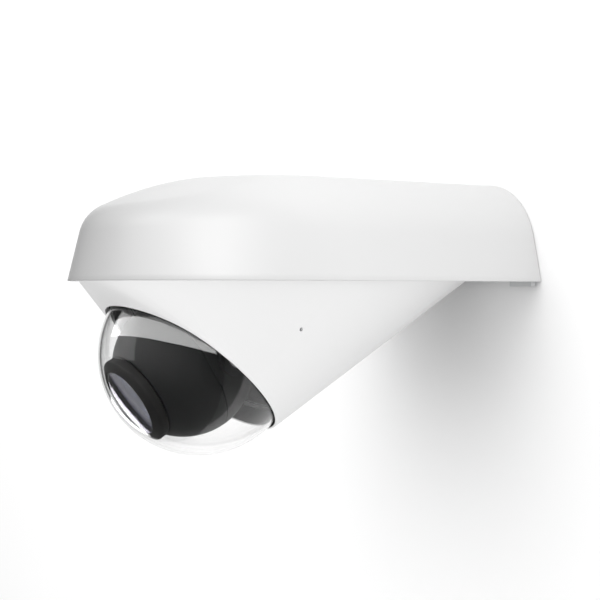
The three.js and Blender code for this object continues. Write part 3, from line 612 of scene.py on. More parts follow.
@dataclass(frozen=True)
class Metal(Finish):
    """Plated, brushed or cast metal.

    Attributes:
        name: the material's name.
        colour: its colour.
        roughness: its mean roughness.
        stretch: how the brushing is drawn out along X, Y and Z.
        grain: grain per metre.
        depth: grain depth in metres.
    """

    name: str
    colour: Colour
    roughness: float = 0.3
    stretch: tuple[float, float, float] = (1.0, 1.0, 1.0)
    grain: float = 900.0
    depth: float = 0.01 * MM

    def recipe(self) -> bpy.types.Material:
        """Roughness and bump from the same stretched grain, with a faint stain in the colour.

        Returns:
            The material.
        """
        r = Recipe(self.name)
        grain = r.noise(self.grain, 4.0, 0.6, r.place(self.stretch))
        dull = tuple(0.82 * c for c in self.colour)
        tone = r.blend(r.noise(90.0, 3.0), dull, self.colour)
        gloss = self.roughness + 0.16 * (grain - 0.5)
        shader = r.node(
            "BsdfPrincipled", Base_Color=tone, Metallic=1.0, Roughness=gloss,
            Normal=r.bump(grain, self.depth),
        )
        return r.surface(shader)


@dataclass(frozen=True)
class CircuitBoard(Finish):
    """Green solder mask over copper tracks.

    Attributes:
        name: the material's name.
        mask: the mask's colour.
        track: the colour over copper.
        pitch: tracks per metre.
    """

    name: str
    mask: Colour = (0.012, 0.085, 0.035)
    track: Colour = (0.03, 0.17, 0.07)
    pitch: float = 480.0

    def recipe(self) -> bpy.types.Material:
        """Tracks where two crossed square waves, cut into patches by cells, are high.

        Returns:
            The material.
        """
        r = Recipe(self.name)
        across, along = (
            r.node("TexWave", "Fac", {"bands_direction": d}, Vector=r.place(), Scale=self.pitch / 20)
            for d in "XZ"
        )
        patch = r.node("TexVoronoi", "Distance", Vector=r.place(), Scale=90.0) > 0.42
        lines = (across > 0.6) * patch + (along > 0.6) * (1 - patch)
        tone = r.blend(lines, self.mask, self.track)
        shader = r.node(
            "BsdfPrincipled", Base_Color=tone, Roughness=0.35, Normal=r.bump(lines, 0.02 * MM),
        )
        return r.surface(shader)


WHITE = MouldedPlastic("white_plastic", (0.80, 0.80, 0.80), roughness=0.38)
PLATE = MouldedPlastic("plate_plastic", (0.72, 0.73, 0.735), roughness=0.5)
BALL_FRONT = MouldedPlastic("ball_plastic", (0.012, 0.0122, 0.0125), 0.1, 0.62, 3000.0, 0.001 * MM)
# Painted lighter shade: the front shell's black made lighter for the ball's rear half, and used on the
# yoke arms too.
BALL_REAR = MouldedPlastic("ball_rear_plastic", (0.018, 0.0185, 0.019), 0.1, 0.62, 3000.0, 0.001 * MM)
TRIM = MouldedPlastic("lens_trim_plastic", (0.0085, 0.0078, 0.0072), 0.1, 0.66, 4000.0, 0.001 * MM)
BLACK = MouldedPlastic("black_plastic", (0.014, 0.014, 0.0145), 0.1, 0.5, 2200.0, 0.01 * MM)
RUBBER = MouldedPlastic("black_rubber", (0.018, 0.018, 0.018), 0.15, 0.75, 1500.0, 0.02 * MM)
ACETAL = MouldedPlastic("natural_acetal", (0.72, 0.72, 0.68), 0.03, 0.35)
CHIP = MouldedPlastic("chip_moulding", (0.018, 0.018, 0.02), 0.2, 0.55, 3000.0, 0.01 * MM)
BUBBLE = ClearPlastic("clear_polycarbonate", (1.0, 1.0, 1.0), 1.49)
WINDOW = ClearPlastic("window_glass", (0.96, 0.97, 1.0), 1.5, 0.0, 420.0)
ELEMENT = ClearPlastic("lens_glass", (0.7, 0.72, 0.98), 2.3, 0.02, 0.0, (0.42, 0.4, 0.95))
COATED = Metal("coated_glass", (0.34, 0.32, 0.85), 0.5, grain=300.0, depth=0.0005 * MM)
STEEL = Metal("zinc_plate", (0.62, 0.63, 0.65), 0.32, (1.0, 0.08, 1.0))
SCREW = Metal("screw_steel", (0.6, 0.6, 0.62), 0.28, grain=2500.0)
CAST = Metal("cast_alloy", (0.42, 0.43, 0.45), 0.5, grain=700.0, depth=0.03 * MM)
BOARD = CircuitBoard("circuit_board")


def dressed(thing: bpy.types.Object, finish: Finish, sharp: float = 32.0) -> bpy.types.Object:
    """Gives a piece its finish and smooth faces.

    Args:
        thing: the piece.
        finish: its material.
        sharp: the angle past which an edge is sharp, in degrees.

    Returns:
        The piece.
    """
    thing.data.materials.clear()
    thing.data.materials.append(finish.material())
    thing.data.shade_smooth()
    thing.data.set_sharp_from_angle(angle=math.radians(sharp))
    return thing


def stand_in(
    thing: bpy.types.Object, node: str, body: str, finish: Finish, sharp: float = 32.0
) -> bpy.types.Object:
    """Dresses a new piece, rides it on a body and puts it in place of a node.

    Args:
        thing: the new piece.
        node: the node that it stands for.
        body: the body that it moves with.
        finish: its material.
        sharp: the angle past which an edge is sharp, in degrees.

    Returns:
        The piece.
    """
    dressed(thing, finish, sharp)
    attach(thing, body)
    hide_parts(node)
    LOG.info("%s stands for %s: %d faces", thing.name, node, len(thing.data.polygons))
    return thing


# ------------------------------------------------------------------ hood and housing


@dataclass
class WeatherHood:
    """The long hood: a drafted wall, a round shoulder and a crown that falls to the nose.

    Attributes:
        rim: height of its rim in the frame.
        length: from the wall to the nose.
        half_width: half its width at the rim.
        height: from the rim to the crown.
        nose: length of the plan's half ellipse.
        draft: the wall's lean in radians.
        nose_drop: the crown's fall towards the rim at the nose.
        side_drop: the same at the sides.
        nose_fillet: the shoulder's radius at the nose.
        side_fillet: the same at the sides.
        crown_to_nose: from the crown line's end to the nose.
        wall: thickness.
        wall_gap: clearance to the wall that it hangs on.
        edge: rounding of the rim.
        boss: radius of a screw boss.
        boss_low: the boss's start over the rim.
        boss_under: how far it ends under the crown.
        pilot: radius of its screw hole.
    """

    rim: float = -8 * MM
    length: float = 236 * MM
    half_width: float = 75.5 * MM
    height: float = 55 * MM
    nose: float = 117 * MM
    draft: float = math.radians(13.8)
    nose_drop: float = 26 * MM
    side_drop: float = 3.75 * MM
    nose_fillet: float = 20 * MM
    side_fillet: float = 38.85 * MM
    crown_to_nose: float = 88.4 * MM
    wall: float = 2.6 * MM
    wall_gap: float = 0.5 * MM
    edge: float = 0.45 * MM
    boss: float = 4.5 * MM
    boss_low: float = 6.7 * MM
    boss_under: float = 19 * MM
    pilot: float = 1.95 * MM

    def stations(
        self, inset: float, back: float, straight: int = 14, curved: int = 72
    ) -> tuple[np.ndarray, ...]:
        """Where the sections stand round the plan.

        The plan is two straight sides and half an ellipse: (w cos a, start - nose sin a).

        Args:
            inset: how far the skin lies inside the outer one.
            back: Y of the first section.
            straight: sections along each straight side.
            curved: sections round a quarter of the nose.

        Returns:
            Each section's foot on the crown line, its direction, its reach and its blend,
            which is 0 at the sides and 1 at the nose.
        """
        width, start = self.half_width - inset, -(self.length - self.nose)
        a = np.linspace(0, math.pi / 2, curved)[1:]
        x = np.concatenate([np.full(straight, width), width * np.cos(a)])
        nose = start - (self.nose - inset) * np.sin(a)
        y = np.concatenate([np.linspace(back, start, straight), nose])
        x[-1] = 0.0
        x, y = np.concatenate([x, -x[-2::-1]]), np.concatenate([y, y[-2::-1]])
        foot = np.stack([0 * x, np.maximum(y, -(self.length - self.crown_to_nose))], -1)
        reach = np.hypot(x, y - foot[:, 1])
        along = (np.stack([x, y], -1) - foot) / reach[:, None]
        t = np.clip((start - y) / self.nose, 0, 1)
        return foot, along, reach, t * t * (3 - 2 * t)

    def sections(self, inset: float, low: float, back: float) -> np.ndarray:
        """Points of the hood's skin, one row per station, from the rim up to the crown line.

        The top is z = h - d (s / l)^2. The shoulder is a circle that touches both the wall and
        the top: its centre is found by halving, on the curve one radius under the top.

        Args:
            inset: how far the skin lies inside the outer one.
            low: height of its lower edge over the rim.
            back: Y of the first section.

        Returns:
            Points, one row per section.
        """
        halvings, wall_steps, shoulder_steps, top_steps = 44, 10, 26, 22
        foot, along, reach, blend = self.stations(inset, back)
        height, slope = self.height - inset, math.tan(self.draft)
        drop = self.side_drop + (self.nose_drop - self.side_drop) * blend
        radius = self.side_fillet + (self.nose_fillet - self.side_fillet) * blend - inset
        small, large = np.zeros_like(reach), reach.copy()
        for _ in range(halvings):
            s = (small + large) / 2
            fall = -2 * drop * s / reach**2
            size = np.hypot(1, fall)
            x, z = s + radius * fall / size, height - drop * (s / reach) ** 2 - radius / size
            inside = x < reach - z * slope - radius / math.cos(self.draft)
            small, large = np.where(inside, s, small), np.where(inside, large, s)
        end = np.arctan2(1, -fall)
        angle = self.draft + (end - self.draft)[:, None] * np.linspace(0, 1, shoulder_steps)
        shoulder = np.stack([
            x[:, None] + radius[:, None] * np.cos(angle),
            z[:, None] + radius[:, None] * np.sin(angle),
        ], -1)
        top_s = s[:, None] * (1 - np.linspace(0, 1, top_steps)[1:])
        top = np.stack([top_s, height - drop[:, None] * (top_s / reach[:, None]) ** 2], -1)
        rise = np.linspace(0, 1, wall_steps)[:-1]
        foot_s, knee = reach - low * slope, shoulder[:, 0]
        wall = np.stack([
            foot_s[:, None] + (knee[:, :1] - foot_s[:, None]) * rise,
            low + (knee[:, 1:] - low) * rise,
        ], -1)
        section = np.concatenate([wall, shoulder, top], 1)
        flat = foot[:, None] + along[:, None] * section[..., :1]
        return np.concatenate([flat, section[..., 1:] + self.rim], -1)

    def shell(self) -> bpy.types.Object:
        """The closed shell: outer skin, inner skin, a rounded rim and the edge at the wall.

        The rim's two corners are quadratic curves, a (1 - t)^2 + 2 b t (1 - t) + c t^2.

        Returns:
            The shell.
        """
        outer = self.sections(0, self.edge, -self.wall_gap)
        inner = self.sections(self.wall, self.edge, -self.wall_gap)
        t = np.linspace(0, 1, 4)[None, :, None]
        low = np.array([0, 0, self.edge])
        start, end = outer[:, :1], inner[:, :1]
        across = end - start
        turn = self.edge / self.wall
        entry, leave = (1 - t) ** 2, t**2
        middle = 2 * t * (1 - t)
        first = start * entry + (start - low) * middle + (start - low + across * turn) * leave
        last = (end - low - across * turn) * entry + (end - low) * middle + end * leave
        skin = Skin().grid(outer).grid(inner).grid(np.concatenate([first, last], 1))
        for row in (0, -1):
            skin.grid(np.stack([outer[row], inner[row]]))
        for row in (0, -1):
            skin.lid(np.concatenate([first[row], last[row]]))
        return skin.make("hood_shell")

    def bosses(self) -> None:
        """Adds the two round bosses that the hood screws go up into."""
        middle = sum(corners_of("hood_screw_right")) / 2
        high = self.height - self.boss_under
        for side, label in SIDES:
            base = Axes(np.array([side * middle[0], middle[1], self.rim]), np.eye(3))
            profile = rounded(np.array([
                [self.pilot, self.boss_low], [self.boss, self.boss_low],
                [self.boss + 0.5 * MM, high], [self.pilot, high],
            ]), 0.3 * MM)
            boss = dressed(turning(f"hood_boss_{label}", profile, base, 40), WHITE)
            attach(boss, "housing")

    def build(self) -> None:
        """Makes the shell and its bosses."""
        stand_in(self.shell(), "weather_hood", "housing", WHITE, 40)
        self.bosses()


@dataclass
class LowerHousing:
    """The tapered housing under the hood: the tightest skin round an oval and the bubble's lip.

    Attributes:
        hood: the hood that it hangs under.
        nose_inset: how far the oval stays behind the hood's nose.
        side_inset: how far it stays inside the hood's sides.
        wall_inset: how far it stays off the wall.
        wall: thickness.
        deck_low: the deck's underside over the rim.
        deck_high: the deck's top over the rim.
        bore: radius of the opening for the bubble.
        lip: radius of the lip round it.
        lip_forward: the lip's height along the dome's axis.
        seat: radius of the hollow's front end.
        seat_forward: its height along the axis.
        bore_back: where the opening starts along the axis.
        lock_bore: radius of a lock screw's hole.
        facets: points round the oval and the lip.
    """

    hood: WeatherHood
    nose_inset: float = 5.2 * MM
    side_inset: float = 4 * MM
    wall_inset: float = 4.8 * MM
    wall: float = 2.6 * MM
    deck_low: float = 0.6 * MM
    deck_high: float = 3.6 * MM
    bore: float = 52.4 * MM
    lip: float = 53.6 * MM
    lip_forward: float = 7.8 * MM
    seat: float = 54.4 * MM
    seat_forward: float = -1.1 * MM
    bore_back: float = -2.8 * MM
    lock_bore: float = 1.0 * MM
    facets: int = 300

    def oval(self, inset: float, height: float) -> np.ndarray:
        """Points of the oval under the hood: the ellipse (w cos a, c + l sin a).

        Args:
            inset: how far it lies inside the outer one.
            height: its height over the rim.

        Returns:
            Points, shape (facets, 3).
        """
        a = np.linspace(0, 2 * math.pi, self.facets, endpoint=False)
        front = -(self.hood.length - self.nose_inset - inset)
        rear = -(self.wall_inset + inset)
        half, long_ = self.hood.half_width - self.side_inset - inset, (rear - front) / 2
        level = np.full_like(a, self.hood.rim + height)
        return np.stack([half * np.cos(a), (front + rear) / 2 + long_ * np.sin(a), level], -1)

    def circle(self, radius: float, forward: float) -> np.ndarray:
        """Points round the dome's axis at a height along it."""
        return turned(np.array([[radius, forward]]), DOME, self.facets).reshape(-1, 3)

    def deck_edge(self, points: np.ndarray, height: float) -> np.ndarray:
        """The deck's outline seen from the oval's centre, past each of the oval's points.

        The outline is the hood's inner plan less a clearance. A ray from the centre meets the
        straight side, the rear edge or the nose's ellipse, whichever is nearest.

        Args:
            points: the oval's points.
            height: the deck's height over the rim.

        Returns:
            One point past each of the oval's.
        """
        hood, gap = self.hood, 0.4 * MM
        inset = hood.wall + height * math.tan(hood.draft) + gap
        centre = np.array([0.0, np.mean(points[:, 1])])
        ray = points[:, :2] - centre
        half, rear = hood.half_width - inset, -(self.wall_inset + 0.6 * MM)
        start, nose = -(hood.length - hood.nose), hood.nose - inset
        with np.errstate(divide="ignore", invalid="ignore"):
            side = np.where(np.abs(ray[:, 0]) > 1e-9, half / np.abs(ray[:, 0]), 1e9)
            back = np.where(ray[:, 1] > 1e-9, (rear - centre[1]) / ray[:, 1], 1e9)
            a = (ray[:, 0] / half) ** 2 + (ray[:, 1] / nose) ** 2
            b = 2 * (centre[1] - start) * ray[:, 1] / nose**2
            c = ((centre[1] - start) / nose) ** 2 - 1
            front = (-b + np.sqrt(np.maximum(b * b - 4 * a * c, 0))) / (2 * a)
        reach = np.minimum(side, back)
        reach = np.where(centre[1] + ray[:, 1] * reach < start, front, reach)
        flat = centre + ray * reach[:, None]
        return np.column_stack([flat, np.full(len(flat), hood.rim + height)])

    def wrapped(self, name: str, *rings: np.ndarray) -> bpy.types.Object:
        """The tightest convex skin round some rings.

        Args:
            name: the object's name.
            *rings: points, each of shape (n, 3).

        Returns:
            The closed skin.
        """
        mesh = bpy.data.meshes.new(name)
        mesh.from_pydata(np.concatenate(rings).tolist(), [], [])
        work = bmesh.new()
        work.from_mesh(mesh)
        made = bmesh.ops.convex_hull(work, input=work.verts)
        spare = [v for v in set(made["geom_interior"] + made["geom_unused"]) if v.is_valid]
        bmesh.ops.delete(work, geom=[v for v in spare if isinstance(v, bmesh.types.BMVert)])
        bmesh.ops.recalc_face_normals(work, faces=work.faces)
        work.to_mesh(mesh)
        work.free()
        return linked(name, mesh)

    def body(self) -> bpy.types.Object:
        """The skin round the oval and the lip, with the deck added and the hollow taken away.

        The lip's rings follow a quarter circle of its rounding radius.

        Returns:
            The body.
        """
        turn = np.linspace(0, math.pi / 2, 5)
        back, soft = self.lip_forward - 0.5 * MM, 0.5 * MM
        lips = [
            self.circle(self.lip - soft * (1 - math.cos(a)), back + soft * math.sin(a)) for a in turn
        ]
        shell = self.wrapped("housing_shell", self.oval(0, self.deck_low), *lips)
        outline = self.deck_edge(self.oval(0, self.deck_low), self.deck_high)[:, :2]
        level = Axes(np.array([0, 0, self.hood.rim]), np.eye(3))
        deck = prism("deck", outline, self.deck_low, self.deck_high, level, 0.2 * MM)
        combined(shell, deck, Cut.JOINED)
        top = self.oval(self.wall, self.deck_high + 2 * MM)
        hollow = self.wrapped("hollow", top, self.circle(self.seat, self.seat_forward))
        combined(shell, hollow, Cut.AWAY)
        bore = rod(self.bore, self.bore_back, 20 * MM)
        return combined(shell, turning("bore", bore, DOME, 256), Cut.AWAY)

    def holes(self, shell: bpy.types.Object) -> bpy.types.Object:
        """Cuts the two lock-screw holes and the two counterbores for the hood screws.

        Args:
            shell: the housing's body.

        Returns:
            The body with its holes.
        """
        clear, head, shank, step, top = 12 * MM, 3.4 * MM, 1.9 * MM, 2.2 * MM, 6 * MM
        for side, label in SIDES:
            low, high = corners_of(f"lock_screw_{label}")
            centre = (low + high) / 2
            place = Axes(np.array([0, *centre[1:]]), WORLD.facing([side, 0, 0]).basis)
            outer = max(abs(low[0]), abs(high[0])) + clear
            hole = rod(self.lock_bore, 40 * MM, outer)
            combined(shell, turning("bore", hole, place, 48), Cut.AWAY)
            middle = sum(corners_of(f"hood_screw_{label}")) / 2
            under = Axes(np.array([*middle[:2], self.hood.rim]), np.eye(3))
            bore = np.array([[0, -MM], [head, -MM], [head, step], [shank, step], [shank, top], [0, top]])
            combined(shell, turning("bore", bore, under, 48), Cut.AWAY)
        return shell

    def build(self) -> None:
        """Makes the housing with its holes."""
        stand_in(self.holes(self.body()), "lower_housing", "housing", WHITE, 30)


# ------------------------------------------------------------------ bubble and its ring


@dataclass
class Bubble:
    """The clear bubble, its gasket and the ring that holds it.

    Attributes:
        radius: outer radius.
        wall: thickness.
        flange: the flange's radius.
        flange_front: its front face along the dome's axis.
        flange_back: its back face.
        ring_top: the ring's front face.
        ring_depth: the ring's length along the axis.
        seal_back: the gasket's back face.
        seal_front: the gasket's front face.
        lip_front: where the gasket's thin lip ends.
    """

    radius: float = 52 * MM
    wall: float = 1.6 * MM
    flange: float = 54 * MM
    flange_front: float = -2.8 * MM
    flange_back: float = -5 * MM
    ring_top: float = -5.3 * MM
    ring_depth: float = 13.7 * MM
    seal_back: float = -2.5 * MM
    seal_front: float = -1.3 * MM
    lip_front: float = 7.3 * MM

    def dome(self) -> bpy.types.Object:
        """Two concentric half circles, a short skirt and a flange with rounded corners.

        Returns:
            The bubble.
        """
        inner, steps = self.radius - self.wall, 90
        inside = arc(inner, math.pi / 2, 0, steps)
        outside = arc(self.radius, 0, math.pi / 2, steps)
        inside[0, 0] = outside[-1, 0] = 0.0
        r = 0.35 * MM
        corners = np.array([
            [inner, self.flange_back], [self.flange, self.flange_back],
            [self.flange, self.flange_front], [self.radius, self.flange_front],
        ])
        radii = np.array([0, r, r, r, r, 0])
        soft = rounded(np.vstack([[inner, 0], corners, [self.radius, 0]]), radii, 5)
        profile = np.vstack([inside[:-1], soft, outside[1:]])
        return turning("bubble_shell", profile, DOME, 192)

    def build(self) -> None:
        """Makes the bubble, the gasket and the retainer."""
        stand_in(self.dome(), "dome_bubble", "housing", BUBBLE, 50)
        skin, back, front, tip = self.radius, self.seal_back, self.seal_front, self.lip_front
        seal = rounded(np.array([
            [skin + 0.1 * MM, back], [self.flange, back], [self.flange, front],
            [skin + 0.34 * MM, front], [skin + 0.34 * MM, tip], [skin - 0.4 * MM, tip],
            [skin - 0.1 * MM, 5 * MM],
        ]), 0.1 * MM)
        stand_in(turning("bubble_seal", seal, DOME), "dome_gasket", "housing", RUBBER)
        inner, top, low = skin - self.wall + 0.2 * MM, self.ring_top, self.ring_top - self.ring_depth
        groove = inner + 0.5 * MM
        ring = rounded(np.array([
            [inner, low], [self.flange, low], [self.flange, top], [inner, top],
            [inner, top - 3 * MM], [groove, top - 3.5 * MM], [groove, low + 3 * MM],
            [inner, low + 2.5 * MM],
        ]), 0.25 * MM)
        made = turning("bubble_ring", ring, DOME, 160)
        stand_in(made, "bubble_retainer", "housing", BLACK)


# ------------------------------------------------------------------ pan ring and yoke


@dataclass
class PanUnit:
    """The ring that turns behind the bubble, its two yoke arms and the ball's pins.

    Attributes:
        ring_inner: the ring's inner radius.
        ring_outer: its outer radius.
        ring_top: its front face along the dome's axis.
        ring_low: its back face.
        arm_inner: an arm's inner face, across from the axis.
        arm_outer: its outer face.
        arm_half: half its width, and the radius of its round end.
        arm_end: where its blank ends along the axis.
        foot_out: the foot's outer end, across from the axis.
        foot_low: the foot's back face.
        foot_thick: the foot's thickness.
        pin: the pin's radius.
        pin_gap: its clearance in the arm.
        pin_head: the head's radius.
    """

    ring_inner: float = 40.9 * MM
    ring_outer: float = 49.2 * MM
    ring_top: float = -18.4 * MM
    ring_low: float = -20.9 * MM
    arm_inner: float = 36.16 * MM
    arm_outer: float = 39.56 * MM
    arm_half: float = 9 * MM
    arm_end: float = 12 * MM
    foot_out: float = 46.46 * MM
    foot_low: float = -18.1 * MM
    foot_thick: float = 2.5 * MM
    pin: float = 2.5 * MM
    pin_gap: float = 0.35 * MM
    pin_head: float = 5 * MM

    def pan_ring(self) -> bpy.types.Object:
        """A flat ring with a chamfered inner edge.

        Returns:
            The ring.
        """
        profile = rounded(np.array([
            [self.ring_inner, self.ring_low], [self.ring_outer, self.ring_low],
            [self.ring_outer, self.ring_top], [self.ring_inner + 1.2 * MM, self.ring_top],
            [self.ring_inner, self.ring_top - 0.8 * MM],
        ]), 0.3 * MM)
        return turning("pan_ring_fine", profile, DOME, 160)

    def arm(self, side: int, label: str) -> bpy.types.Object:
        """One arm: an L section drawn along up, cut to an outline with a round end.

        Args:
            side: -1 or 1.
            label: left or right.

        Returns:
            The arm, with its bore for the pin.
        """
        drawn = Axes(DOME.origin, np.array([side * DOME.basis[0], DOME.basis[2], DOME.basis[1]]))
        low, top = self.foot_low, self.foot_low + self.foot_thick
        ell = rounded(np.array([
            [self.arm_inner, low], [self.foot_out, low], [self.foot_out, top],
            [self.arm_outer, top], [self.arm_outer, self.arm_end], [self.arm_inner, self.arm_end],
        ]), np.array([0.5, 0.9, 0.6, 1.6, 0.5, 0.5]) * MM, 6)
        arm = prism(f"yoke_arm_{label}", ell, -self.arm_half, self.arm_half, drawn, 0.12 * MM)
        faced = Axes(DOME.origin, np.array([DOME.basis[1], DOME.basis[2], side * DOME.basis[0]]))
        a = np.linspace(0, math.pi, 40)
        crown = np.stack([self.arm_half * np.cos(a), self.arm_half * np.sin(a)], -1)
        near, deep = 30 * MM, -30 * MM
        foot = np.array([[-self.arm_half, deep], [self.arm_half, deep]])
        combined(arm, prism("blank", np.vstack([crown, foot]), near, FAR, faced), Cut.SHARED)
        bore = turning("bore", rod(self.pin + self.pin_gap, near, FAR), DOME.facing([side, 0, 0]), 40)
        return combined(arm, bore, Cut.AWAY)

    def tilt_pin(self, side: int, label: str) -> bpy.types.Object:
        """A shouldered pin with a dished head.

        Args:
            side: -1 or 1.
            label: left or right.

        Returns:
            The pin.
        """
        seat, tip, rim = self.arm_outer + 0.3 * MM, self.arm_inner - 5 * MM, self.pin_head
        crown, dish = seat + 1.3 * MM, seat + 0.8 * MM
        profile = rounded(np.array([
            [0, tip], [self.pin, tip], [self.pin, seat], [rim, seat], [rim, seat + 0.9 * MM],
            [rim - 0.6 * MM, crown], [1.6 * MM, crown], [1.2 * MM, dish], [0, dish],
        ]), np.array([0, 0.4, 0.1, 0.2, 0.3, 0.3, 0.2, 0.2, 0]) * MM)
        return turning(f"tilt_pivot_{label}", profile, DOME.facing([side, 0, 0]), 64)

    def build(self) -> None:
        """Makes the ring, the two arms and their pins."""
        stand_in(self.pan_ring(), "pan_ring", "pan_unit", BLACK)
        for side, label in SIDES:
            arm, pin = self.arm(side, label), self.tilt_pin(side, label)
            stand_in(arm, f"yoke_{label}", "pan_unit", BALL_REAR)
            stand_in(pin, f"tilt_pin_{label}", "pan_unit", STEEL)


# ------------------------------------------------------------------ ball and lens


@dataclass
class Ball:
    """The ball round the lens: two shells that meet at a seam, flat at the arms.

    Attributes:
        centre: the sphere's middle along the lens axis.
        radius: outer radius.
        wall: thickness.
        flat: the flat sides' distance from the axis.
        back: where the rear shell starts along the axis.
        seam: where the shells meet.
        seam_gap: half the gap between them.
        front: where the front shell ends.
        pin: radius of the holes for the pins.
    """

    centre: float = 10.5 * MM
    radius: float = 36.5 * MM
    wall: float = 2 * MM
    flat: float = 35.36 * MM
    back: float = -7 * MM
    seam: float = 12.8 * MM
    seam_gap: float = 0.15 * MM
    front: float = 38.6 * MM
    pin: float = 2.9 * MM

    def zone(self, name: str, low: float, high: float) -> bpy.types.Object:
        """A zone of a sphere's wall, with small round edges at both ends.

        Its outer radius at a height z is sqrt(R^2 - (z - c)^2), less a quarter circle's fall
        near both ends.

        Args:
            name: the object's name.
            low: where it starts along the lens axis.
            high: where it ends.

        Returns:
            The shell, cut flat at both arms.
        """
        height, edge = np.linspace(low, high, 60), 0.25 * MM
        rise = height - self.centre
        ends = np.minimum(height - low, high - height)
        soft = edge * (1 - np.sqrt(np.clip(1 - (1 - np.clip(ends / edge, 0, 1)) ** 2, 0, 1)))
        outer = np.stack([np.sqrt(self.radius**2 - rise**2) - soft, height], -1)
        inner = np.stack([np.sqrt((self.radius - self.wall) ** 2 - rise**2), height], -1)
        shell = turning(name, np.vstack([outer, inner[::-1]]), LENS, 144)
        square = 60 * MM * np.array([[-1, -1], [1, -1], [1, 1], [-1, 1]])
        for side, _ in SIDES:
            combined(shell, prism("slab", square, self.flat, FAR, LENS.facing([side, 0, 0])), Cut.AWAY)
        return shell

    def build(self) -> None:
        """Makes both shells."""
        rear = self.zone("ball_rear", self.back, self.seam - self.seam_gap)
        for side, _ in SIDES:
            hole = rod(self.pin, 20 * MM, FAR)
            combined(rear, turning("bore", hole, LENS.facing([side, 0, 0]), 40), Cut.AWAY)
        stand_in(rear, "ball_shell_rear", "tilt_unit", BALL_REAR, 25)
        front = self.zone("ball_front", self.seam + self.seam_gap, self.front)
        stand_in(front, "ball_shell_front", "tilt_unit", BALL_FRONT, 25)


@dataclass
class LensUnit:
    """The window ring, the glass and the barrel that turn together on the lens axis.

    Attributes:
        base: the ring's back face along the axis.
        ring: its outer radius.
        ring_front: the front of its outer edge.
        glass: its inner radius.
        glass_front: the front of its inner edge.
        ledge: the ledge that the glass rests on.
        barrel: the tube's radius.
        bore: the tube's inner radius.
        barrel_back: the tube's back end.
        barrel_front: its front end.
    """

    base: float = 38.9 * MM
    ring: float = 23.3 * MM
    ring_front: float = 43.9 * MM
    glass: float = 18.4 * MM
    glass_front: float = 46.17 * MM
    ledge: float = 43.7 * MM
    barrel: float = 15 * MM
    bore: float = 12 * MM
    barrel_back: float = 6 * MM
    barrel_front: float = 39.9 * MM

    def window_ring(self) -> bpy.types.Object:
        """A ring with a coned face, a soft outer edge and a ledge for the glass.

        Returns:
            The ring.
        """
        ring, glass, base = self.ring, self.glass, self.base
        inward, under = glass - 1.8 * MM, self.ledge - 1.2 * MM
        corners = np.array([
            [glass, base], [ring - 0.8 * MM, base], [ring, base + 0.8 * MM],
            [ring, self.ring_front - 0.3 * MM], [glass + 0.35 * MM, self.glass_front - 0.25 * MM],
            [glass, self.glass_front - 0.3 * MM], [glass, self.ledge], [inward, self.ledge],
            [inward, under], [glass, under],
        ])
        radii = np.array([0.1, 0.3, 0.3, 1.0, 0.2, 0.1, 0.05, 0.1, 0.1, 0.05]) * MM
        return turning("window_ring", rounded(corners, radii, 6), LENS, 192)

    def dish(
        self, name: str, radius: float, back: float, back_rise: float, front: float, rise: float
    ) -> bpy.types.Object:
        """A glass element between two parabolas z = rim + rise (1 - (r / R)^2), ground at the rim.

        Args:
            name: the object's name.
            radius: its radius.
            back: height of its back face at the rim.
            back_rise: how far that face rises to the middle.
            front: height of its front face at the rim.
            rise: how far that face rises to the middle.

        Returns:
            The element.
        """
        edge = 0.15 * MM
        t = np.linspace(0, 1, 40)
        under = np.stack([radius * t, back + back_rise * (1 - t**2)], -1)
        over = np.stack([radius * t, front + rise * (1 - t**2)], -1)[::-1]
        under[-1, 0] -= edge
        over[0, 0] -= edge
        rim = np.array([[radius, back + edge], [radius, front - edge]])
        return turning(name, np.vstack([under, rim, over]), LENS, 128)

    def barrel_body(self) -> bpy.types.Object:
        """A tube with a front flange and stepped baffles down its bore.

        Returns:
            The tube.
        """
        count, front = np.arange(6), self.barrel_front
        flange, under = self.glass - 0.6 * MM, front - 2.0 * MM
        teeth = np.stack([self.bore + 0.5 * MM * (count % 2), front - 0.4 * MM - MM * count], -1)
        corners = np.vstack([[
            [self.bore, self.barrel_back], [self.barrel, self.barrel_back],
            [self.barrel, under], [flange, under], [flange, front], [self.bore + 1.5 * MM, front],
        ], teeth, [[self.bore, front - 7.2 * MM]]])
        return turning("lens_tube", rounded(corners, 0.1 * MM, 2), LENS, 128)

    def build(self) -> None:
        """Makes the ring, the window, the tube and its glass."""
        stand_in(self.window_ring(), "lens_window_ring", "lens_unit", TRIM, 35)
        low, thick = self.ring_front + 0.1 * MM, 1.5 * MM
        pane = self.dish("window_pane", self.glass - 0.3 * MM, low, 0.8 * MM, low + thick, 0.9 * MM)
        stand_in(pane, "front_glass", "lens_unit", WINDOW, 50)
        stand_in(self.barrel_body(), "lens_barrel", "lens_unit", BLACK)
        inside = self.bore - 0.3 * MM
        objective = self.dish("objective", inside, 31 * MM, -2.2 * MM, 34.5 * MM, 3.6 * MM)
        stand_in(objective, "lens_element_front", "lens_unit", COATED, 50)
        field_lens = self.dish("field_lens", inside, 10 * MM, -1.5 * MM, 13 * MM, 2.2 * MM)
        stand_in(field_lens, "lens_element_rear", "lens_unit", ELEMENT, 50)
        stop = rounded(np.array([
            [4.2 * MM, 21.5 * MM], [inside, 21.5 * MM], [inside, 22.5 * MM], [4.6 * MM, 22.5 * MM],
        ]), 0.08 * MM)
        iris = turning("iris_stop", stop, LENS, 96)
        stand_in(iris, "iris_diaphragm", "lens_unit", BLACK)


# ------------------------------------------------------------------ screws and the rest


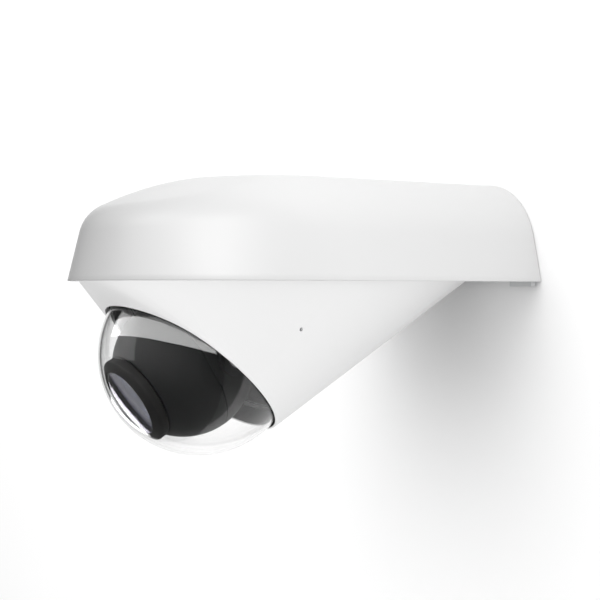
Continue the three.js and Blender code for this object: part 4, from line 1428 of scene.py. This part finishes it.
@dataclass
class Screw:
    """A pan-head screw with a six-sided socket, built from its node's own box.

    Attributes:
        node: the node that it stands for.
        body: the body that it moves with.
        axes: axes with forward out of the head, at the head's underside.
        shank: shank radius.
        head: head radius.
        height: head height.
        length: length under the head.
        key: the socket's size as a share of the head.
    """

    node: str
    body: str
    axes: Axes
    shank: float
    head: float
    height: float
    length: float
    key: float = 0.5

    def build(self) -> None:
        """Rings from the tip to the socket's floor: round ones, then six-sided ones."""
        angle = np.linspace(0, 2 * math.pi, 72, endpoint=False)
        side = self.head * self.key * math.cos(math.pi / 6)
        six = side / np.cos((angle + math.pi / 6) % (math.pi / 3) - math.pi / 6)
        h, r = self.height, self.head
        rows = [
            (0, -self.length), (self.shank * 0.7, -self.length), (self.shank, 0.5 * MM - self.length),
            (self.shank, 0.0), (r - 0.15 * MM, 0.0), (r, 0.15 * MM), (r, h * 0.55), (r * 0.93, h * 0.85),
            (r * 0.78, h),
        ]
        rows += [(1.06 * six, h), (six, h * 0.93), (six, h * 0.25), (0 * six, h * 0.15)]
        rings = [np.stack([q * np.cos(angle), q * np.sin(angle), 0 * angle + z], -1) for q, z in rows]
        placed = self.axes.place(np.stack(rings, 1))
        piece = Skin().grid(placed, True).make(self.node + "_fine")
        stand_in(piece, self.node, self.body, SCREW, 28)


def screws() -> None:
    """Builds every screw at its node's place."""
    pair, four = ("left", "right"), (1, 2, 3, 4)
    down, out, front = np.array([[0.0, 0.0, -1.0], [0.0, -1.0, 0.0], [0.0, 0.0, 1.0]])
    kinds = [
        ("hood_screw", pair, "housing", WORLD, down, 1.5, 3.0, 1.3),
        ("frame_screw", four, "housing", WORLD, out, 1.9, 3.6, 1.9),
        ("base_screw", four, "housing", DOME, front, 1.5, 3.0, 1.3),
        ("board_screw", four, "housing", DOME, down, 1.25, 2.4, 1.6),
        ("yoke_screw", pair, "pan_unit", DOME, front, 1.25, 2.4, 1.6),
    ]
    for kind, labels, body, axes, outward, shank, head, height in kinds:
        for label in labels:
            node = f"{kind}_{label}"
            local = (vertices_of(node) - axes.origin) @ axes.basis.T
            span = local @ outward
            middle = (local.max(0) + local.min(0)) / 2
            seat = middle + outward * (span.max() - height * MM - middle @ outward)
            place = Axes(axes.place(seat), axes.facing(outward).basis)
            length = float(np.ptp(span)) - height * MM
            Screw(node, body, place, shank * MM, head * MM, height * MM, length).build()


def lock_screws() -> None:
    """Builds the two headless screws that show in the housing's sides."""
    shank, head, height = 0.85 * MM, 0.9 * MM, 0.3 * MM
    for side, label in SIDES:
        node = f"lock_screw_{label}"
        low, high = corners_of(node)
        middle, length = (low + high) / 2, high[0] - low[0] - height
        tip = np.array([side * max(abs(low[0]), abs(high[0])), *middle[1:]])
        place = Axes(tip, WORLD.facing([side, 0, 0]).basis)
        Screw(node, "housing", place, shank, head, height, length, 0.6).build()


@dataclass(frozen=True)
class Refined:
    """A node that keeps its shape but gets soft edges.

    Attributes:
        node: the node.
        body: its body.
        slot: the record's slot; not used.
        finish: its material.
        edge: width of the soft edge in metres.
    """

    node: str
    body: str
    slot: str
    finish: Finish
    edge: float

    def build(self) -> None:
        """Copies the node, welds it, merges flat faces and rounds its edges."""
        mesh = frame["nodes"][self.node].data.copy()
        work = bmesh.new()
        work.from_mesh(mesh)
        bmesh.ops.remove_doubles(work, verts=work.verts, dist=HAIR)
        bmesh.ops.dissolve_limit(work, angle_limit=math.radians(1.5), verts=work.verts, edges=work.edges)
        work.to_mesh(mesh)
        work.free()
        for name in [a.name for a in mesh.attributes if a.name.startswith("custom_normal")]:
            mesh.attributes.remove(mesh.attributes[name])
        piece = linked(self.node + "_fine", mesh)
        soft = piece.modifiers.new("edge", "BEVEL")
        soft.width, soft.segments, soft.limit_method = self.edge, 2, "ANGLE"
        soft.angle_limit = math.radians(35)
        settle(piece)
        stand_in(piece, self.node, self.body, self.finish, 35)


def inner_pieces() -> None:
    """Dresses the plate, the frame, the base, the boards and what they carry."""
    pieces = [
        ("housing", [
            ("wall_plate", "plate_white", PLATE, 0.35), ("wall_gasket", "rubber", RUBBER, 0.2),
            ("mounting_frame", "steel", STEEL, 0.3), ("dome_base", "cast_metal", CAST, 0.3),
            ("bearing_ring", "acetal", ACETAL, 0.2), ("cable_grommet", "rubber", RUBBER, 0.2),
            ("main_board", "circuit_board", BOARD, 0.15), ("processor", "chip", CHIP, 0.15),
            ("heat_spreader", "cast_metal", CAST, 0.3), ("network_jack", "steel", STEEL, 0.2),
            ("card_slot", "steel", STEEL, 0.1), ("reset_switch", "chip", CHIP, 0.15),
        ]),
        ("card", [("memory_card", "chip", CHIP, 0.12)]),
        ("button", [("reset_button", "acetal", ACETAL, 0.15)]),
        ("tilt_unit", [("lens_carrier", "black_plastic", BLACK, 0.2)]),
        ("lens_unit", [
            ("sensor_holder", "black_plastic", BLACK, 0.2),
            ("sensor_board", "circuit_board", BOARD, 0.15), ("image_sensor", "chip", CHIP, 0.1),
        ]),
        ("housing", [(f"standoff_{i}", "steel", STEEL, 0.15) for i in range(1, 5)]),
    ]
    for body, rows in pieces:
        for node, slot, finish, edge in rows:
            Refined(node, body, slot, finish, edge * MM).build()


# ------------------------------------------------------------------ studio


class Shows(Enum):
    """Where a lamp shows."""

    REFLECTIONS = "glossy"
    MATT = "diffuse"


@dataclass(frozen=True)
class Softbox:
    """A rectangular lamp aimed at a point.

    Attributes:
        name: its name.
        place: its centre.
        aim: the point that it faces.
        size: width and height.
        radiance: how bright its face looks, where 1 is white.
        only: the objects that it lights.
        shows: where it shows.
    """

    name: str
    place: tuple[float, float, float]
    aim: tuple[float, float, float]
    size: tuple[float, float]
    radiance: float
    only: tuple[str, ...]
    shows: Shows

    def build(self) -> None:
        """Adds the lamp: a face of radiance L and area A gives off pi L A."""
        lamp = bpy.data.lights.new(self.name, "AREA")
        lamp.shape, lamp.size, lamp.size_y = "RECTANGLE", *self.size
        lamp.energy = self.radiance * math.pi * self.size[0] * self.size[1]
        thing = linked(self.name, lamp)
        back = unit(np.array(self.place) - np.array(self.aim))
        across = unit(np.cross([0, 0, 1.0], back))
        thing.matrix_world = matrix_of(across, np.cross(back, across), back, self.place)
        thing.visible_glossy = self.shows is Shows.REFLECTIONS
        thing.visible_diffuse = self.shows is Shows.MATT
        thing.visible_camera = False
        lit = bpy.data.collections.new(self.name + "_lights")
        for name in self.only:
            lit.objects.link(bpy.data.objects[name])
        thing.light_linking.receiver_collection = lit


def matrix_of(across: np.ndarray, up: np.ndarray, back: np.ndarray, place: tuple) -> Matrix:
    """A world matrix from three directions and a place."""
    return Matrix([[across[i], up[i], back[i], place[i]] for i in range(3)] + [[0, 0, 0, 1]])


@dataclass
class Studio:
    """The white wall behind the camera, the lamps, the backdrop's colour and the viewpoint.

    Attributes:
        hood: the hood that the wall has an opening for.
        eye: the viewpoint.
        heading: its turn from +Y towards -X, in radians.
        pitch: its tilt upwards, in radians.
        lens: its focal length on a sensor 36 wide.
        ambient: the even light on matt surfaces.
        dark: the air's brightness in reflections.
        gap: the wall's clearance round the hood.
        side: X past which the wall is dimmed in reflections.
        lamps: the lamps.
    """

    hood: WeatherHood
    eye: tuple[float, float, float] = (610.97 * MM, -491.22 * MM, -13.43 * MM)
    heading: float = math.radians(57.75)
    pitch: float = math.radians(-0.35)
    lens: float = 80.0
    ambient: float = 0.5
    dark: float = 0.06
    gap: float = 1.2 * MM
    side: float = 0.4
    lamps: list[Softbox] = field(default_factory=list)

    def camera(self) -> None:
        """Adds the camera."""
        data = bpy.data.cameras.new("viewpoint")
        data.lens, data.sensor_width, data.clip_start, data.clip_end = self.lens, 36.0, 0.05, 50.0
        thing = linked("viewpoint", data)
        sin, cos = math.sin(self.heading), math.cos(self.heading)
        level, rise = math.cos(self.pitch), math.sin(self.pitch)
        forward = np.array([-sin * level, cos * level, rise])
        across = np.array([cos, sin, 0.0])
        thing.matrix_world = matrix_of(across, np.cross(across, forward), -forward, self.eye)
        bpy.context.scene.camera = thing

    def wall(self) -> None:
        """A wide wall with an opening where the hood's back stands, seen from its front only.

        Its rings are the opening's outline carried away from its middle, further each time.
        """
        section = self.hood.sections(self.gap, self.gap, 0.0)[0][:, [0, 2]]
        outline = np.vstack([section, section[::-1] * [-1, 1]])
        middle = np.array([0.0, self.hood.rim + self.hood.height / 2])
        reach = np.array([1.0, 1.5, 3.0, 9.0, 30.0, 120.0])
        flat = middle + (outline - middle)[None] * reach[:, None, None]
        rings = np.stack([flat[..., 0], np.zeros(flat.shape[:2]), flat[..., 1]], -1)
        wall = Skin().grid(rings, False, True).make("wall")
        if wall.data.polygons[0].normal.y > 0:
            wall.data.flip_normals()
        r = Recipe("wall_paint")
        tone = r.blend(r.noise(3.0, 2.0), (0.9, 0.9, 0.9), (0.92, 0.92, 0.92))
        paint = r.node("BsdfPrincipled", Base_Color=tone, Roughness=0.9, Specular_IOR_Level=0.1)
        away = r.node("SeparateXYZ", "X", Vector=r.place()) > self.side
        dim = 0.75 * (away * r.node("LightPath", "Is Glossy Ray"))
        front = r.either(dim, paint, r.node("BsdfDiffuse", Color=(0.0, 0.0, 0.0)))
        behind = r.node("NewGeometry", "Backfacing")
        wall.data.materials.append(r.surface(r.either(behind, front, r.node("BsdfTransparent"))))

    def backdrop(self) -> None:
        """White to the camera, a soft even light on matt surfaces and dark in reflections."""
        world = bpy.data.worlds.new("studio_air")
        bpy.context.scene.world = world
        world.use_nodes = True
        world.cycles.sampling_method = "NONE"
        tree = world.node_tree
        tree.nodes.clear()
        path = tree.nodes.new("ShaderNodeLightPath")
        camera, gloss = (Wire(tree, path.outputs[f"Is {kind} Ray"]) for kind in ("Camera", "Glossy"))
        air = tree.nodes.new("ShaderNodeBackground")
        out = tree.nodes.new("ShaderNodeOutputWorld")
        strength = self.ambient + (1 - self.ambient) * camera + (self.dark - self.ambient) * gloss
        join(tree, air.inputs["Strength"], strength)
        join(tree, air.inputs["Color"], (1.0, 1.0, 1.0))
        tree.links.new(air.outputs[0], out.inputs["Surface"])

    def build(self) -> None:
        """Sets the view's colours and adds everything."""
        bpy.context.scene.view_settings.view_transform = "Standard"
        self.camera()
        self.wall()
        self.backdrop()
        for lamp in self.lamps:
            lamp.build()


CLEAR = ("bubble_shell", "window_pane")
HOOD = ("hood_shell",)
HOUSING = ("housing_shell",)
MIDDLE = (0.0, -0.12, 0.0)
WINDOW_AIM = (0.0, -0.21, -0.08)
REFLECTED = [
    ("front_strip", (3.2, -1.65, 0.694), (3.2, 0.0, 0.694), (11.6, 0.592), 4.8, CLEAR),
    ("upper_strip", (3.2, -1.65, 1.45), (3.2, 0.0, 1.45), (11.6, 0.9), 1.8, CLEAR),
    ("left_panel", (-1.32, -1.5, 0.12), (-1.32, 0.0, 0.12), (1.97, 0.54), 0.6, CLEAR),
    ("glass_edge", (-1.51, -0.23, -0.85), WINDOW_AIM, (0.16, 0.7), 3.6, CLEAR),
    ("glass_middle", (-1.44, -0.64, -0.88), WINDOW_AIM, (0.35, 0.7), 0.8, CLEAR),
    ("hood_sheen", (1.9, -0.9, 1.1), MIDDLE, (1.1, 1.1), 5.5, HOOD + HOUSING),
    ("wide_sheen", (2.0, -1.6, 1.2), (2.0, 0.0, 0.2), (4.2, 1.2), 2.6, HOOD),
]
SPREAD = [
    ("hood_key", (0.28, -0.27, 0.13), (0.05, -0.15, 0.0), (0.15, 0.15), 3.4, HOOD),
    ("hood_top", (0.4, -1.2, 1.8), MIDDLE, (1.0, 1.0), 2.2, HOOD),
    ("housing_key", (1.1, -1.8, -0.6), (0.0, -0.12, -0.04), (1.0, 1.0), 8.4, HOUSING),
    ("wall_light", (0.0, -1.6, 0.75), (0.0, 0.0, -0.1), (2.6, 3.0), 1.95, ("wall",)),
]


def main() -> None:
    """Builds the camera piece by piece, then the studio."""
    logging.basicConfig(level=logging.INFO, format="%(message)s")
    hood = WeatherHood()
    hood.build()
    LowerHousing(hood).build()
    Bubble().build()
    PanUnit().build()
    Ball().build()
    LensUnit().build()
    screws()
    lock_screws()
    inner_pieces()
    lamps = [Softbox(*row, Shows.REFLECTIONS) for row in REFLECTED]
    lamps += [Softbox(*row, Shows.MATT) for row in SPREAD]
    Studio(hood, lamps=lamps).build()


if __name__ == "__main__":
    main()
